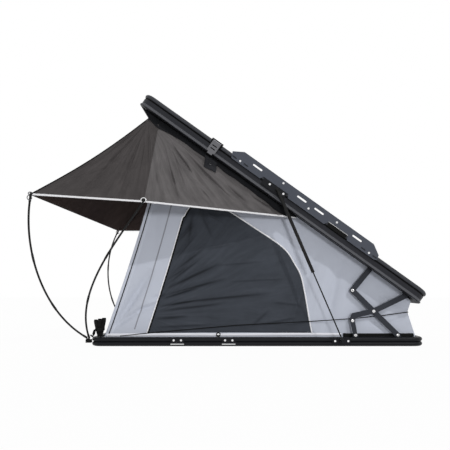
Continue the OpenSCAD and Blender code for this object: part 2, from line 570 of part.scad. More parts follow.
base_rail_near();
base_rail_far();
base_rail_front();
base_rail_rear();
base_corners();
floor_panel();
mount_strips();
mattress();
side_brackets();
strut_feet();
hinge_feet();
pole_sockets();
base_bolts();
closing_strap();
wall_near();
wall_far();
wall_front();
wall_rear();
window_near();
window_far();
shock_cord();
lid_rail_near();
lid_rail_far();
lid_rail_front();
lid_rail_rear();
lid_corners();
lid_panel();
lid_lining();
lid_seal();
rack_plate_near();
rack_plate_far();
rack_grips();
strut_heads();
hinge_heads();
latch_bodies();
latch_hasp_near();
latch_hasp_far();
lid_bolts();
long_arm_near();
long_arm_far();
cross_arm_near();
cross_arm_far();
upper_link_near();
upper_link_far();
lower_link_near();
lower_link_far();
strut_rod_near();
strut_rod_far();
strut_tube_near();
strut_tube_far();
fly_side_near();
fly_side_far();
fly_gusset_near();
fly_gusset_far();
fly_front();
poles_near();
poles_far();
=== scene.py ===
"""Looks of a hard-shell wedge roof top tent, shown open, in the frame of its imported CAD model. Metres."""
import json

import bpy
import numpy as np
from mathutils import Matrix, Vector


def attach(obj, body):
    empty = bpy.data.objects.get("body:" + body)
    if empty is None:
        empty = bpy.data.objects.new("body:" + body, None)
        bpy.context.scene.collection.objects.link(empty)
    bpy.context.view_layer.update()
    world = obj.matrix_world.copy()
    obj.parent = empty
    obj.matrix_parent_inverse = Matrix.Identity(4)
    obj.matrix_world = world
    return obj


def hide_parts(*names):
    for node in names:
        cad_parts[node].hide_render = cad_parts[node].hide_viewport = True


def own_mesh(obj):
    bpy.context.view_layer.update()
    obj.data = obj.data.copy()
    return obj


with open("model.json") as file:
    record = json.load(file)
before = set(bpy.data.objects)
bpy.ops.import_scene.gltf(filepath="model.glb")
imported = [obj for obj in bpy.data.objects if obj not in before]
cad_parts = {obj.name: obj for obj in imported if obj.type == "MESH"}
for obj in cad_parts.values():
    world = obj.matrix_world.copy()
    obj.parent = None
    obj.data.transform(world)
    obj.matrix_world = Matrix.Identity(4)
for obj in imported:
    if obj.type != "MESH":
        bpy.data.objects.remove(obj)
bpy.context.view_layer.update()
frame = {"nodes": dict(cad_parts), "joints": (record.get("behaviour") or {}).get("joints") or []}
nodes = frame["nodes"]

# Camera and light.
# The tent is seen square on from its near side, from knee height, about four metres away.
# A high sun at the right throws crisp shadows, a low lamp stands before the tent and a broad one behind
# it, and a white room fills the rest.
IMAGE = 450
FOCAL_PX = 588.5
CENTRE_PX = (250.4, 285.2)
SENSOR = 36.0
EYE = Vector((-0.046, -4.645, 0.410))
# The way each light travels, its strength and its spread.
LIGHTS = {"sun": ((-0.62, 1.0, -1.10), 0.86, 0.03), "front": ((-0.22, 1.0, -0.07), 0.86, 0.13),
          "behind": ((0.30, -1.0, -0.45), 1.30, 1.0)}

camera_data = bpy.data.cameras.new("camera")
camera_data.sensor_width = SENSOR
camera_data.lens = FOCAL_PX / IMAGE * SENSOR
camera_data.shift_x = (IMAGE / 2 - CENTRE_PX[0]) / IMAGE
camera_data.shift_y = (CENTRE_PX[1] - IMAGE / 2) / IMAGE
camera = bpy.data.objects.new("camera", camera_data)
camera.location = EYE
camera.rotation_euler = (np.pi / 2, 0, 0)
bpy.context.scene.collection.objects.link(camera)
bpy.context.scene.camera = camera
bpy.context.scene.view_settings.view_transform = "Standard"

for name, (travel, energy, spread) in LIGHTS.items():
    lamp_data = bpy.data.lights.new(name, "SUN")
    lamp_data.energy = energy
    lamp_data.angle = spread
    lamp = bpy.data.objects.new(name, lamp_data)
    lamp.visible_glossy = name == "sun"
    lamp.rotation_euler = Vector(travel).to_track_quat("-Z", "Y").to_euler()
    bpy.context.scene.collection.objects.link(lamp)

# Room and floor.
# A plain white studio: what the camera, gloss and glass see of it is white, and its light is softer.
# The floor is pale and keeps part of the tent's shadow.
FILL = 0.42
FLOOR_SIZE = 30.0
FLOOR_WHITE = 0.86
FLOOR_VEIL = 0.965


class Shade:
    """A shader socket that takes part in Python sums, with the node tree that it belongs to."""

    def __init__(self, tree, socket=None):
        self.tree, self.socket = tree, socket

    def node(self, kind, inputs=(), out=0, **settings):
        """Adds a node: its settings first, then the values or links of its sockets, by name or place."""
        made = self.tree.nodes.new("ShaderNode" + kind)
        for key, value in settings.items():
            setattr(made, key, value)
        for key, value in dict(inputs).items():
            found = [s for i, s in enumerate(made.inputs) if key in (i, s.identifier, s.name)][0]
            if isinstance(value, Shade):
                self.tree.links.new(value.socket, found)
            else:
                found.default_value = value
        return Shade(self.tree, made.outputs[out])

    def maths(self, operation, a, b=0.0):
        """One step of arithmetic on one value or two."""
        return self.node("Math", {0: a, 1: b}, operation=operation)

    def blend(self, share, first, second):
        """The colour at a share of the way from the first to the second."""
        sockets = {"Factor_Float": share, "A_Color": first, "B_Color": second}
        return self.node("Mix", sockets, out=2, data_type="RGBA")

    def __add__(self, other):
        return self.maths("ADD", self, other)

    def __mul__(self, other):
        return self.maths("MULTIPLY", self, other)

    def __lt__(self, other):
        return self.maths("LESS_THAN", self, other)

    def __gt__(self, other):
        return self.maths("GREATER_THAN", self, other)

    __radd__ = __add__
    __rmul__ = __mul__


def rgba(colour):
    """A colour with full alpha, from one grey value or three."""
    three = np.broadcast_to(np.array(colour, float), 3)
    return (*three.tolist(), 1.0)


def seen_plainly(tree):
    """One for a ray that shows the room to the camera, in gloss or through glass, and none for its light."""
    rays = tree.node("LightPath").socket.node.outputs
    camera_ray, gloss_ray, glass_ray = (Shade(tree.tree, rays[f"Is {kind} Ray"])
                                        for kind in ("Camera", "Glossy", "Transmission"))
    return tree.maths("MINIMUM", camera_ray + gloss_ray + glass_ray, 1.0)


world = bpy.data.worlds.new("room")
world.use_nodes = True
bpy.context.scene.world = world
room = Shade(world.node_tree)
level = FILL + (1 - FILL) * seen_plainly(room)
room.tree.links.new(level.socket, world.node_tree.nodes["Background"].inputs["Strength"])
world.node_tree.nodes["Background"].inputs["Color"].default_value = rgba(1.0)

floor_mesh = bpy.data.meshes.new("floor")
half = FLOOR_SIZE / 2
floor_corners = [(-half, -half, 0), (half, -half, 0), (half, half, 0), (-half, half, 0)]
floor_mesh.from_pydata(floor_corners, [], [(0, 1, 2, 3)])
floor = bpy.data.objects.new("floor", floor_mesh)
bpy.context.scene.collection.objects.link(floor)
floor_finish = bpy.data.materials.new("pale_floor")
floor_finish.use_nodes = True
floor_tree = floor_finish.node_tree
floor_tree.nodes.remove(floor_tree.nodes["Principled BSDF"])
sheet_light = Shade(floor_tree)
matt = sheet_light.node("BsdfDiffuse", {"Color": rgba(FLOOR_WHITE)})
white = sheet_light.node("Emission", {"Color": rgba(1.0), "Strength": 1.0})
mixed = sheet_light.node("MixShader", {0: seen_plainly(sheet_light) * FLOOR_VEIL, 1: matt, 2: white})
floor_tree.links.new(mixed.socket, floor_tree.nodes["Material Output"].inputs["Surface"])
floor_mesh.materials.append(floor_finish)

# Base tray.
# Four black powder-coated extrusions with two ribs along their outer side, and cast corners between them.
# The coat is fine grained, with cloudy wear and dust in patches.
RAIL_BLACK = (0.0078, 0.0083, 0.0105)
CORNER_BLACK = (0.0068, 0.0073, 0.0095)
DUST_PATCHES, DUST_PALE = 9.0, 0.006
GRAIN_DEEP = 0.0004
ROUGH_LOW, ROUGH_SPREAD = -0.07, 0.16


def empty_finish(name):
    """A new finish, with its node tree and the sockets of its shader."""
    finish = bpy.data.materials.new(name)
    finish.use_nodes = True
    return finish, Shade(finish.node_tree), finish.node_tree.nodes["Principled BSDF"].inputs


def feed(shader, colour, rough, relief):
    """Links what changes over a finish to its shader: colour, roughness and bump."""
    for socket, value in (("Base Color", colour), ("Roughness", rough), ("Normal", relief)):
        value.tree.links.new(value.socket, shader[socket])


def coated(name, colour, rough, grain=900.0, dust=0.35, gloss=0.14):
    """A sprayed coat: a fine grain in the bump, cloudy roughness, and paler dust in broad patches."""
    finish, tree, shader = empty_finish(name)
    place = tree.node("TexCoord", out=3)
    fine = tree.node("TexNoise", {"Vector": place, "Scale": grain, "Detail": 2.0})
    cloud = tree.node("TexNoise", {"Vector": place, "Scale": DUST_PATCHES, "Detail": 5.0, "Roughness": 0.6})
    base = np.broadcast_to(np.array(colour, float), 3)
    tint = tree.blend(cloud * dust, rgba(base * 0.92), rgba(base * 1.25 + DUST_PALE))
    relief = tree.node("Bump", {"Height": fine, "Strength": 0.25, "Distance": GRAIN_DEEP})
    feed(shader, tint, rough + ROUGH_LOW + ROUGH_SPREAD * cloud, relief)
    shader["Specular IOR Level"].default_value = gloss
    return finish


def dress(finish, *names):
    """Gives CAD nodes their finish."""
    for name in names:
        nodes[name].data.materials.clear()
        nodes[name].data.materials.append(finish)


RAIL_SIDES = ("near", "far", "front", "rear")
dress(coated("rail_coat", RAIL_BLACK, rough=0.36), *(f"base_rail_{side}" for side in RAIL_SIDES))
dress(coated("corner_coat", CORNER_BLACK, rough=0.44, grain=500.0), "base_corners")

# Floor and mounting strips.
# The floor is a thin sandwich panel with a dark skin, carried on the ledge of the rails.
# Two drawn aluminium strips under it take the bolts of the roof bars, and show the lines of the die.
MILL_GREY = (0.58, 0.58, 0.60)
PANEL_BLACK = (0.030, 0.030, 0.034)
SCRATCH_DEEP = 0.0002


def bare_metal(name, colour, rough, streak=(2.0, 300.0, 300.0), wear=0.12):
    """Bare metal with the long scratches of drawing or brushing, stretched by the streak scales."""
    finish, tree, shader = empty_finish(name)
    place = tree.node("TexCoord", out=3)
    drawn = tree.node("Mapping", {"Vector": place, "Scale": streak})
    lines = tree.node("TexNoise", {"Vector": drawn, "Scale": 1.0, "Detail": 4.0})
    cloud = tree.node("TexNoise", {"Vector": place, "Scale": 14.0, "Detail": 3.0})
    base = np.array(colour, float)
    tint = tree.blend(cloud, rgba(base * 0.88), rgba(base * 1.06))
    relief = tree.node("Bump", {"Height": lines, "Strength": 0.15, "Distance": SCRATCH_DEEP})
    feed(shader, tint, rough + wear * lines, relief)
    shader["Metallic"].default_value = 1.0
    return finish


dress(coated("panel_skin", PANEL_BLACK, rough=0.5, grain=350.0), "floor_panel", "lid_panel")
dress(bare_metal("drawn_aluminium", MILL_GREY, rough=0.32), "mount_strips")

# Lid shell.
# The same black extrusion, taller, round a sandwich panel, with a painted highlight along the bead of its lip
# and on its upper flange, painted shade in the groove below that flange, and a rubber seal under its edge.
# Folded sheet-metal rack plates are bolted along both sides, with a ribbed rubber grip in a notch.
LID_BLACK = (0.0215, 0.0223, 0.0270)
# Bands of painted light along the lid's rails: a painted highlight on the lip and on the flange, painted
# shade in the groove; each from and to, above the lower edge, and colour.
LID_PAINTED_LIGHT_BANDS = {"lip": (0.004, 0.021, (0.092, 0.094, 0.104)), "groove": (0.050, 0.060, (0.0035, 0.0037, 0.0045)),
             "flange": (0.063, 0.084, (0.044, 0.046, 0.053))}
RACK_GREY = (0.072, 0.079, 0.098)
MOULDED_BLACK = 0.009
LID_ANGLE = np.radians(next(j for j in frame["joints"] if j["name"] == "lid_fold")["range_deg"][1])
LID_CORNER = np.array([1.098, 0.281])
ALONG = np.array([-np.cos(LID_ANGLE), np.sin(LID_ANGLE)])
OUT = np.array([np.sin(LID_ANGLE), np.cos(LID_ANGLE)])


def banded(finish, direction, low, high, colour):
    """Gives a finish a second colour between two heights along a direction, and returns the mask."""
    tree = Shade(finish.node_tree)
    shader = finish.node_tree.nodes["Principled BSDF"].inputs
    place = tree.node("TexCoord", out=3)
    height = tree.node("VectorMath", {0: place, 1: direction}, out=1, operation="DOT_PRODUCT")
    inside = (height < high) * (height > low)
    coat = Shade(tree.tree, shader["Base Color"].links[0].from_socket)
    tree.tree.links.new(tree.blend(inside, coat, rgba(colour)).socket, shader["Base Color"])
    return inside


lid_coat = coated("lid_coat", LID_BLACK, rough=0.42, grain=320.0, gloss=0.12)
# The bands paint highlight and shade into the lid's coat.
for low, high, colour in LID_PAINTED_LIGHT_BANDS.values():
    banded(lid_coat, (OUT[0], 0.0, OUT[1]), LID_CORNER @ OUT + low, LID_CORNER @ OUT + high, colour)
dress(lid_coat, *(f"lid_rail_{side}" for side in RAIL_SIDES), "lid_corners")
dress(coated("rack_coat", RACK_GREY, rough=0.42, grain=700.0), "rack_plate_near", "rack_plate_far")
moulded = coated("moulded_black", MOULDED_BLACK, rough=0.5, grain=260.0, gloss=0.05)
dress(moulded, "rack_grips", "latch_bodies", "pole_sockets", "lid_seal")

# Hinges, struts and fasteners.
# Flat grey-coated bars turn on polished bolts; the gas struts are black, tube and rod.
# The brackets are black plates with a bare bottom flange, the hasps dark plated sheet with two slots.
BAR_GREY = (0.034, 0.037, 0.046)
BRIGHT = (0.80, 0.80, 0.81)
STRUT_BLACK = 0.006
HASP_GREY = (0.15, 0.15, 0.16)
FLANGE_FOOT, FLANGE_TOP = -1.0, 0.0185
BARS = ("long_arm", "cross_arm", "upper_link", "lower_link")
STRUT_PARTS = ("strut_tube", "strut_rod")


def both_sides(*parts):
    """The near and far nodes of parts that stand on both sides."""
    return [f"{part}_{side}" for part in parts for side in ("near", "far")]


dress(coated("bar_coat", BAR_GREY, rough=0.40, grain=600.0), *both_sides(*BARS), "hinge_feet", "hinge_heads")
dress(coated("strut_black", STRUT_BLACK, rough=0.16, grain=60.0, gloss=0.2), *both_sides(*STRUT_PARTS))
dress(coated("plate_black", RAIL_BLACK, rough=0.40), "strut_feet", "strut_heads")
polished = bare_metal("polished_steel", BRIGHT, rough=0.10, streak=(40.0, 40.0, 40.0), wear=0.08)
dress(polished, "base_bolts", "lid_bolts")
dark_plated = bare_metal("dark_plated", HASP_GREY, rough=0.36, streak=(300.0, 300.0, 4.0))
dress(dark_plated, *both_sides("latch_hasp"))

bracket_coat = coated("bracket_coat", RAIL_BLACK, rough=0.40)
bare = banded(bracket_coat, (0.0, 0.0, 1.0), FLANGE_FOOT, FLANGE_TOP, BRIGHT)
bare.tree.links.new(bare.socket, bracket_coat.node_tree.nodes["Principled BSDF"].inputs["Metallic"])
dress(bracket_coat, "side_brackets")

# Tent walls.
# Light grey polycotton canvas, cut in four panels and sewn to the floor and to the lid.
# Each side hangs between its edges with a slight inward bow and tension folds from the corners.
CANVAS = (0.53, 0.56, 0.64)
FLOOR_TOP = 0.022
WALL_Y = 0.620
WALL_BOW = 0.014
WALL_RIPPLE = 0.0012
WALL_FOLD_GAIN = 2.1
WALL_GRID = (150, 110)
FRONT_BOW = 0.026
WAIST = (1.028, 0.226)
WAIST_PULL = 0.28


def lid_point(u, n):
    """The point u up the open lid from its rear end and n above its lower edge, as x and z."""
    return LID_CORNER + np.multiply.outer(u, ALONG) + np.multiply.outer(n, OUT)


WALL_CORNERS = np.array([[-1.057, FLOOR_TOP], [1.070, FLOOR_TOP],
                         lid_point(2.124, 0.0595), lid_point(0.090, 0.0595)])
REAR_EDGE = np.array([WALL_CORNERS[1], [1.080, 0.066], WAIST, lid_point(0.050, -0.010),
                      lid_point(0.079, -0.006), WALL_CORNERS[3]])
WEAVE_DEEP = 0.0006
# How dark the painted shade beside folds makes a cloth.
FOLD_SHADE_DARK = 0.12
SLUBS = (160.0, 6.0, 1.0)
FAN_SLUBS, FAN_RINGS, FAN_SWAY = 19.0, 5.0, 2.4


def woven(name, colour, pitch=0.0016, rough=0.86, mottle=0.18, streaks=0.0, fan=None, gloss=0.12, bump=0.3,
          painted_fold_shade=0.0):
    """Plain weave on the piece's own lengths: warp times weft in the bump, with mottled colour. Its
    slubs run along the cloth, or out from a point in x and z where the cloth is strained from one, and
    painted shade darkens it where an attribute, crease, marks the shaded side of a fold."""
    finish, tree, shader = empty_finish(name)
    lengths = tree.node("UVMap")
    across = tree.node("SeparateXYZ", {0: lengths})
    down = Shade(tree.tree, across.socket.node.outputs[1])
    turn = 2 * np.pi / pitch
    weave = tree.maths("SINE", across * turn) * tree.maths("SINE", down * turn)
    place = tree.node("TexCoord", out=3)
    cloud = tree.node("TexNoise", {"Vector": place, "Scale": 5.0, "Detail": 6.0, "Roughness": 0.62})
    grain = tree.node("Mapping", {"Vector": lengths, "Scale": SLUBS})
    if fan is not None:
        spoke = tree.node("Mapping", {"Vector": place, "Location": (-fan[0], 0.0, -fan[1])})
        part = tree.node("SeparateXYZ", {0: spoke}).socket.node.outputs
        angle = tree.maths("ARCTAN2", Shade(tree.tree, part[2]), Shade(tree.tree, part[0]))
        reach = tree.node("VectorMath", {0: spoke}, out=1, operation="LENGTH")
        sway = FAN_SWAY * tree.node("TexNoise", {"Vector": place, "Scale": 4.0, "Detail": 3.0})
        grain = tree.node("CombineXYZ", {0: angle * FAN_SLUBS + sway, 1: reach * FAN_RINGS})
    slub = tree.node("TexNoise", {"Vector": grain, "Scale": 1.0, "Detail": 4.0, "Roughness": 0.6})
    base = np.broadcast_to(np.array(colour, float), 3)
    shade = cloud * (1 - streaks) + slub * streaks
    tint = tree.blend(shade, rgba(base * (1 - mottle)), rgba(base * (1 + mottle)))
    if painted_fold_shade:
        # Painted shade: darker where the crease attribute marks the shaded side of a fold.
        crease = tree.node("Attribute", out=2, attribute_name="crease")
        tint = tree.blend(crease * painted_fold_shade, tint, rgba(base * FOLD_SHADE_DARK))
    relief = tree.node("Bump", {"Height": weave * 0.5 + slub * 0.8, "Strength": bump, "Distance": WEAVE_DEEP})
    feed(shader, tint, rough - 0.05 + 0.1 * slub, relief)
    shader["Specular IOR Level"].default_value = gloss
    return finish


def piece(name, points, finish, uv=None, wrap=False, loop=False, caps=(0, 0), thick=0.0, inside=None):
    """A piece on a grid of points (rows, columns, 3): quads between neighbours, wrapped round the columns
    for a tube, looped from the last row to the first for a ring, and capped at its first and last row,
    with the grid's lengths in metres as its UV map."""
    rows, cols = points.shape[:2]
    index = np.arange(rows * cols).reshape(rows, cols)
    low = np.vstack([index, index[:1]]) if loop else index
    side = np.hstack([low, low[:, :1]]) if wrap else low
    faces = np.stack([side[:-1, :-1], side[:-1, 1:], side[1:, 1:], side[1:, :-1]], -1).reshape(-1, 4).tolist()
    faces += [index[0, ::-1].tolist()] * caps[0] + [index[-1].tolist()] * caps[1]
    mesh = bpy.data.meshes.new(name)
    mesh.from_pydata(points.reshape(-1, 3).tolist(), [], faces)
    if uv is None:
        run = np.linalg.norm(np.diff(points, axis=0), axis=2).mean(1)
        span = np.linalg.norm(np.diff(points, axis=1), axis=2).mean(0)
        v, u = np.meshgrid(np.r_[0, run.cumsum()], np.r_[0, span.cumsum()], indexing="ij")
        uv = np.stack([u, v], -1)
    corner = np.zeros(len(mesh.loops), np.int32)
    mesh.loops.foreach_get("vertex_index", corner)
    layer = mesh.uv_layers.new(name="lengths")
    layer.data.foreach_set("uv", uv.reshape(-1, 2)[corner].astype(np.float32).reshape(-1))
    mesh.polygons.foreach_set("use_smooth", np.ones(len(mesh.polygons), bool))
    mesh.materials.append(finish)
    made = bpy.data.objects.new(name, mesh)
    bpy.context.scene.collection.objects.link(made)
    if thick:
        if inside:
            mesh.materials.append(inside)
        solid = made.modifiers.new("cloth", "SOLIDIFY")
        solid.thickness, solid.offset = thick, -1.0
        solid.material_offset = 1 if inside else 0
    return made


def front_bow(f, h):
    """How far the cloth is drawn back between floor and lid, most at the front edge."""
    return FRONT_BOW * np.sin(np.pi * np.asarray(h)) * (1 - np.clip(f, 0, 1)) ** 2


def wall_place(f, h):
    """x and z at share f from the front edge to the rear and h from the floor to the lid, with the front
    edge bowed back and the rear edge drawn in at its waist."""
    low = WALL_CORNERS[0] + np.multiply.outer(f, WALL_CORNERS[1] - WALL_CORNERS[0])
    high = WALL_CORNERS[2] + np.multiply.outer(f, WALL_CORNERS[3] - WALL_CORNERS[2])
    flat = low + (high - low) * np.asarray(h)[..., None]
    edge_x = np.interp(REAR_EDGE[0, 1] + np.asarray(h) * (REAR_EDGE[-1, 1] - REAR_EDGE[0, 1]),
                       REAR_EDGE[:, 1], REAR_EDGE[:, 0])
    straight = REAR_EDGE[0, 0] + np.asarray(h) * (REAR_EDGE[-1, 0] - REAR_EDGE[0, 0])
    pull = np.clip((np.asarray(f) - (1 - WAIST_PULL)) / WAIST_PULL, 0, 1) ** 2
    flat[..., 0] += (edge_x - straight) * pull + front_bow(f, h)
    return flat


def ridge(x, z, start, end, width):
    """A fold from start to end: a sharp-crested bell across the line, fading to nothing at both ends."""
    a, b = np.array(start), np.array(end)
    d = b - a
    long = np.hypot(*d)
    t = ((x - a[0]) * d[0] + (z - a[1]) * d[1]) / long ** 2
    off = ((x - a[0]) * -d[1] + (z - a[1]) * d[0]) / long
    fade = np.clip(1 - (2 * t - 1) ** 2, 0, 1)
    return np.exp(-np.abs(off / width) ** 1.4) * fade


# Folds of a side wall: start and end in x and z, height (out is positive) and width.
WALL_FOLDS = [((0.42, 0.66), (0.20, 0.05), -0.010, 0.030), ((0.50, 0.58), (0.34, 0.06), 0.003, 0.020),
              ((0.58, 0.62), (0.46, 0.05), -0.009, 0.028), ((0.24, 0.84), (0.30, 0.30), -0.008, 0.035),
              ((-1.00, 0.09), (-0.72, 0.52), -0.018, 0.028), ((-0.98, 0.12), (-0.76, 0.27), -0.012, 0.015),
              ((-0.83, 0.22), (-0.67, 0.29), -0.011, 0.012), ((-0.74, 0.31), (-0.62, 0.35), -0.008, 0.010),
              ((0.98, 0.06), (0.72, 0.20), -0.006, 0.022), ((1.04, 0.22), (0.86, 0.12), -0.005, 0.016),
              ((1.04, 0.23), (0.84, 0.34), -0.006, 0.018), ((-0.62, 1.45), (-0.72, 0.60), -0.005, 0.030)]


def wall_relief(x, z, f, h):
    """How far the cloth lies out of its flat cut: an even inward bow, the folds, and a slow ripple."""
    bow = -WALL_BOW * np.sin(np.pi * f) * np.sin(np.pi * h)
    folds = WALL_FOLD_GAIN * sum(height * ridge(x, z, a, b, width) for a, b, height, width in WALL_FOLDS)
    ripple = WALL_RIPPLE * np.sin(9 * x + 3 * np.sin(5 * z)) * np.sin(7 * z + 1.0) * np.sin(np.pi * h)
    return bow + folds + ripple


def on_side(side, f, h, lift=0.0):
    """Points on a side wall, lifted off the cloth; side is -1 for the near wall and 1 for the far one."""
    f, h = np.broadcast_arrays(np.asarray(f, float), np.asarray(h, float))
    xz = wall_place(f, h)
    y = side * (WALL_Y + lift + wall_relief(xz[..., 0], xz[..., 1], f, h))
    return np.stack([xz[..., 0], y, xz[..., 1]], -1)


def facing(points, side):
    """Turns a grid over, so that the faces of a near piece and of its mirror both point outwards."""
    return points if side < 0 else points[:, ::-1]


def packs_flat(made):
    """Cloth of the tent body: it rides on the base, with a mesh of its own."""
    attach(made, "base")
    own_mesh(made)


canvas = woven("grey_canvas", CANVAS, pitch=0.0018, mottle=0.05)
SIDE_NAMES = {-1: "near", 1: "far"}
for side, name in SIDE_NAMES.items():
    f, h = np.meshgrid(*(np.linspace(0, 1, count) for count in WALL_GRID))
    wall = piece(f"wall_{name}_cloth", facing(on_side(side, f, h), side), canvas)
    packs_flat(wall)
    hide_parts(f"wall_{name}")

# End walls.
# The front wall leans with the opening and holds the door, which a zip closes in an arch.
# The rear wall is low and drawn in at its waist by the cord.
END_HALF = 0.619
FRONT_BELLY, FRONT_RIPPLE = 0.020, 0.003
REAR_BELLY, REAR_CREASE = 0.004, 0.004
FRONT_IN, REAR_IN = 0.001, 0.0015
FRONT_FLAT, REAR_FLAT = (1.24, 1.61), (1.24, 0.39)
END_GRID = 90
f, h = np.meshgrid(np.linspace(-1, 1, END_GRID), np.linspace(0, 1, END_GRID))


def front_wall(f, h, lift=0.0):
    """Points on the front wall, f from -1 to 1 across and h up, bowed inwards between its edges."""
    f, h = np.broadcast_arrays(np.asarray(f, float), np.asarray(h, float))
    foot, head = WALL_CORNERS[0], WALL_CORNERS[2]
    xz = foot + (head - foot) * h[..., None]
    bow = FRONT_BELLY * np.cos(np.pi * f / 2) * np.sin(np.pi * h) - lift
    bow = bow + FRONT_RIPPLE * np.sin(6 * f + 2 * np.sin(4 * h)) * np.sin(np.pi * h) * (1 - f ** 2)
    return np.stack([xz[..., 0] + front_bow(0, h) + bow + FRONT_IN, END_HALF * f, xz[..., 1]], -1)


def rear_wall(f, h):
    """Points on the rear wall, f from -1 to 1 across and h along its profile from the floor up."""
    f, h = np.broadcast_arrays(np.asarray(f, float), np.asarray(h, float))
    steps = np.hypot(*np.diff(REAR_EDGE, axis=0).T)
    run = np.r_[0, steps.cumsum()] / steps.sum()
    x = np.interp(h, run, REAR_EDGE[:, 0])
    z = np.interp(h, run, REAR_EDGE[:, 1])
    belly = REAR_BELLY * (1 - f ** 2) * np.sin(np.pi * h)
    crease = REAR_CREASE * np.sin(14 * f) * np.exp(-((h - 0.5) / 0.2) ** 2) * (1 - f ** 2)
    return np.stack([x - REAR_IN - belly - np.abs(crease), END_HALF * f, z], -1)


for name, points, flat in (("front", front_wall(f, h)[:, ::-1], FRONT_FLAT),
                           ("rear", rear_wall(f, h), REAR_FLAT)):
    wall = piece(f"wall_{name}_cloth", points, canvas)
    packs_flat(wall)
    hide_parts(f"wall_{name}")

# Windows.
# A large dark mesh panel with a sewn edge in each side; its folds run in from the lower front edge, with
# painted shade beside each fold.
# Black piping covers the seam at the front edge with a pale one beside it, and pale piping goes on over
# the top and down the rear edge.
MESH_DARK = (0.047, 0.053, 0.065)
PIPING_BLACK = 0.008
PIPING_PALE = (0.90, 0.90, 0.93)
MESH_LIFT, MESH_RAISE = 0.0012, 0.002
FOLD_GAIN = 2.0
# The fold height at which the painted shade beside a fold is full.
FOLD_SHADE_FULL = 0.008
SEWN_RIM = 0.06
PIPING_R, FRONT_PIPING_R = 0.0050, 0.0056
PIPING_LIFT = 0.0035
PALE_BESIDE, PALE_LIFT = 0.0042, 0.0030
FRONT_EDGE = 60
# The window's edge, from its front foot over the top to its rear foot, in shares f and h of the wall.
WINDOW = np.array([[0.137, 0.043], [0.1365, 0.560], [0.1415, 0.622], [0.159, 0.690], [0.205, 0.742],
                   [0.264, 0.750], [0.382, 0.727], [0.501, 0.689], [0.555, 0.619], [0.604, 0.482],
                   [0.668, 0.078]])
WINDOW_MIDDLE = np.array([0.36, 0.38])
# Folds of the window, as those of the wall.
WINDOW_FOLDS = [((-0.59, 0.50), (-0.34, 0.69), 0.007, 0.016), ((-0.64, 0.39), (-0.24, 0.58), 0.009, 0.018),
                ((-0.65, 0.35), (-0.20, 0.47), 0.008, 0.016), ((-0.67, 0.29), (0.12, 0.37), 0.007, 0.015),
                ((-0.69, 0.24), (-0.20, 0.30), 0.006, 0.014), ((-0.71, 0.19), (-0.46, 0.21), 0.006, 0.015),
                ((-0.50, 0.92), (-0.55, 0.75), 0.006, 0.013), ((-0.44, 0.92), (-0.47, 0.70), 0.006, 0.015),
                ((-0.56, 0.70), (-0.42, 0.84), 0.006, 0.013), ((-0.05, 0.13), (0.09, 0.26), 0.005, 0.016),
                ((-0.40, 0.95), (-0.30, 0.74), 0.005, 0.020), ((0.02, 0.15), (0.28, 0.20), 0.004, 0.014),
                ((-0.62, 0.45), (-0.45, 0.56), 0.006, 0.010), ((-0.68, 0.27), (-0.42, 0.31), 0.006, 0.010),
                ((-0.57, 0.58), (-0.40, 0.78), 0.006, 0.011), ((-0.66, 0.32), (-0.40, 0.40), 0.007, 0.010),
                ((-0.63, 0.41), (-0.36, 0.62), 0.006, 0.010), ((-0.53, 0.80), (-0.46, 0.92), 0.005, 0.009),
                ((-0.36, 0.66), (-0.16, 0.70), 0.003, 0.010), ((-0.30, 0.55), (0.05, 0.58), 0.003, 0.011),
                ((-0.34, 0.90), (-0.22, 0.84), 0.004, 0.012), ((-0.20, 0.44), (0.20, 0.46), 0.003, 0.010),
                ((-0.70, 0.13), (-0.30, 0.15), 0.004, 0.012), ((0.10, 0.30), (0.30, 0.28), 0.003, 0.012)]


def rounded_line(points, count):
    """A smooth line through a few points, at even steps of its length: a cubic between each two, whose
    slope at a point is half the step from the point before it to the one after it."""
    p = np.asarray(points, float)
    full = np.vstack([2 * p[0] - p[1], p, 2 * p[-1] - p[-2]])
    t = np.linspace(0, 1, 16, endpoint=False)[:, None, None]
    a, b, c, d = full[:-3], full[1:-2], full[2:-1], full[3:]
    curve = 0.5 * (2 * b + (c - a) * t + (2 * a - 5 * b + 4 * c - d) * t ** 2
                   + (3 * b - a - 3 * c + d) * t ** 3)
    curve = np.vstack([curve.transpose(1, 0, 2).reshape(-1, p.shape[1]), full[-2]])
    run = np.r_[0, np.linalg.norm(np.diff(curve, axis=0), axis=1).cumsum()]
    steps = np.linspace(0, run[-1], count)
    return np.stack([np.interp(steps, run, axis) for axis in curve.T], 1)


def tube(path, radius, sides=10):
    """Rings of a round section carried along a path, square to it, with no twist about the tangent."""
    path = np.asarray(path, float)
    tangent = np.gradient(path, axis=0)
    tangent /= np.linalg.norm(tangent, axis=1, keepdims=True)
    spare = np.array([0.31, 0.17, 0.93]) if abs(tangent[:, 2]).mean() < 0.8 else np.array([0.93, 0.31, 0.17])
    e = np.cross(tangent, spare)
    e /= np.linalg.norm(e, axis=1, keepdims=True)
    n = np.cross(tangent, e)
    turn = np.linspace(0, 2 * np.pi, sides, endpoint=False)[None, :, None]
    radius = np.broadcast_to(np.asarray(radius, float), len(path))[:, None, None]
    return path[:, None] + radius * (np.cos(turn) * e[:, None] + np.sin(turn) * n[:, None])


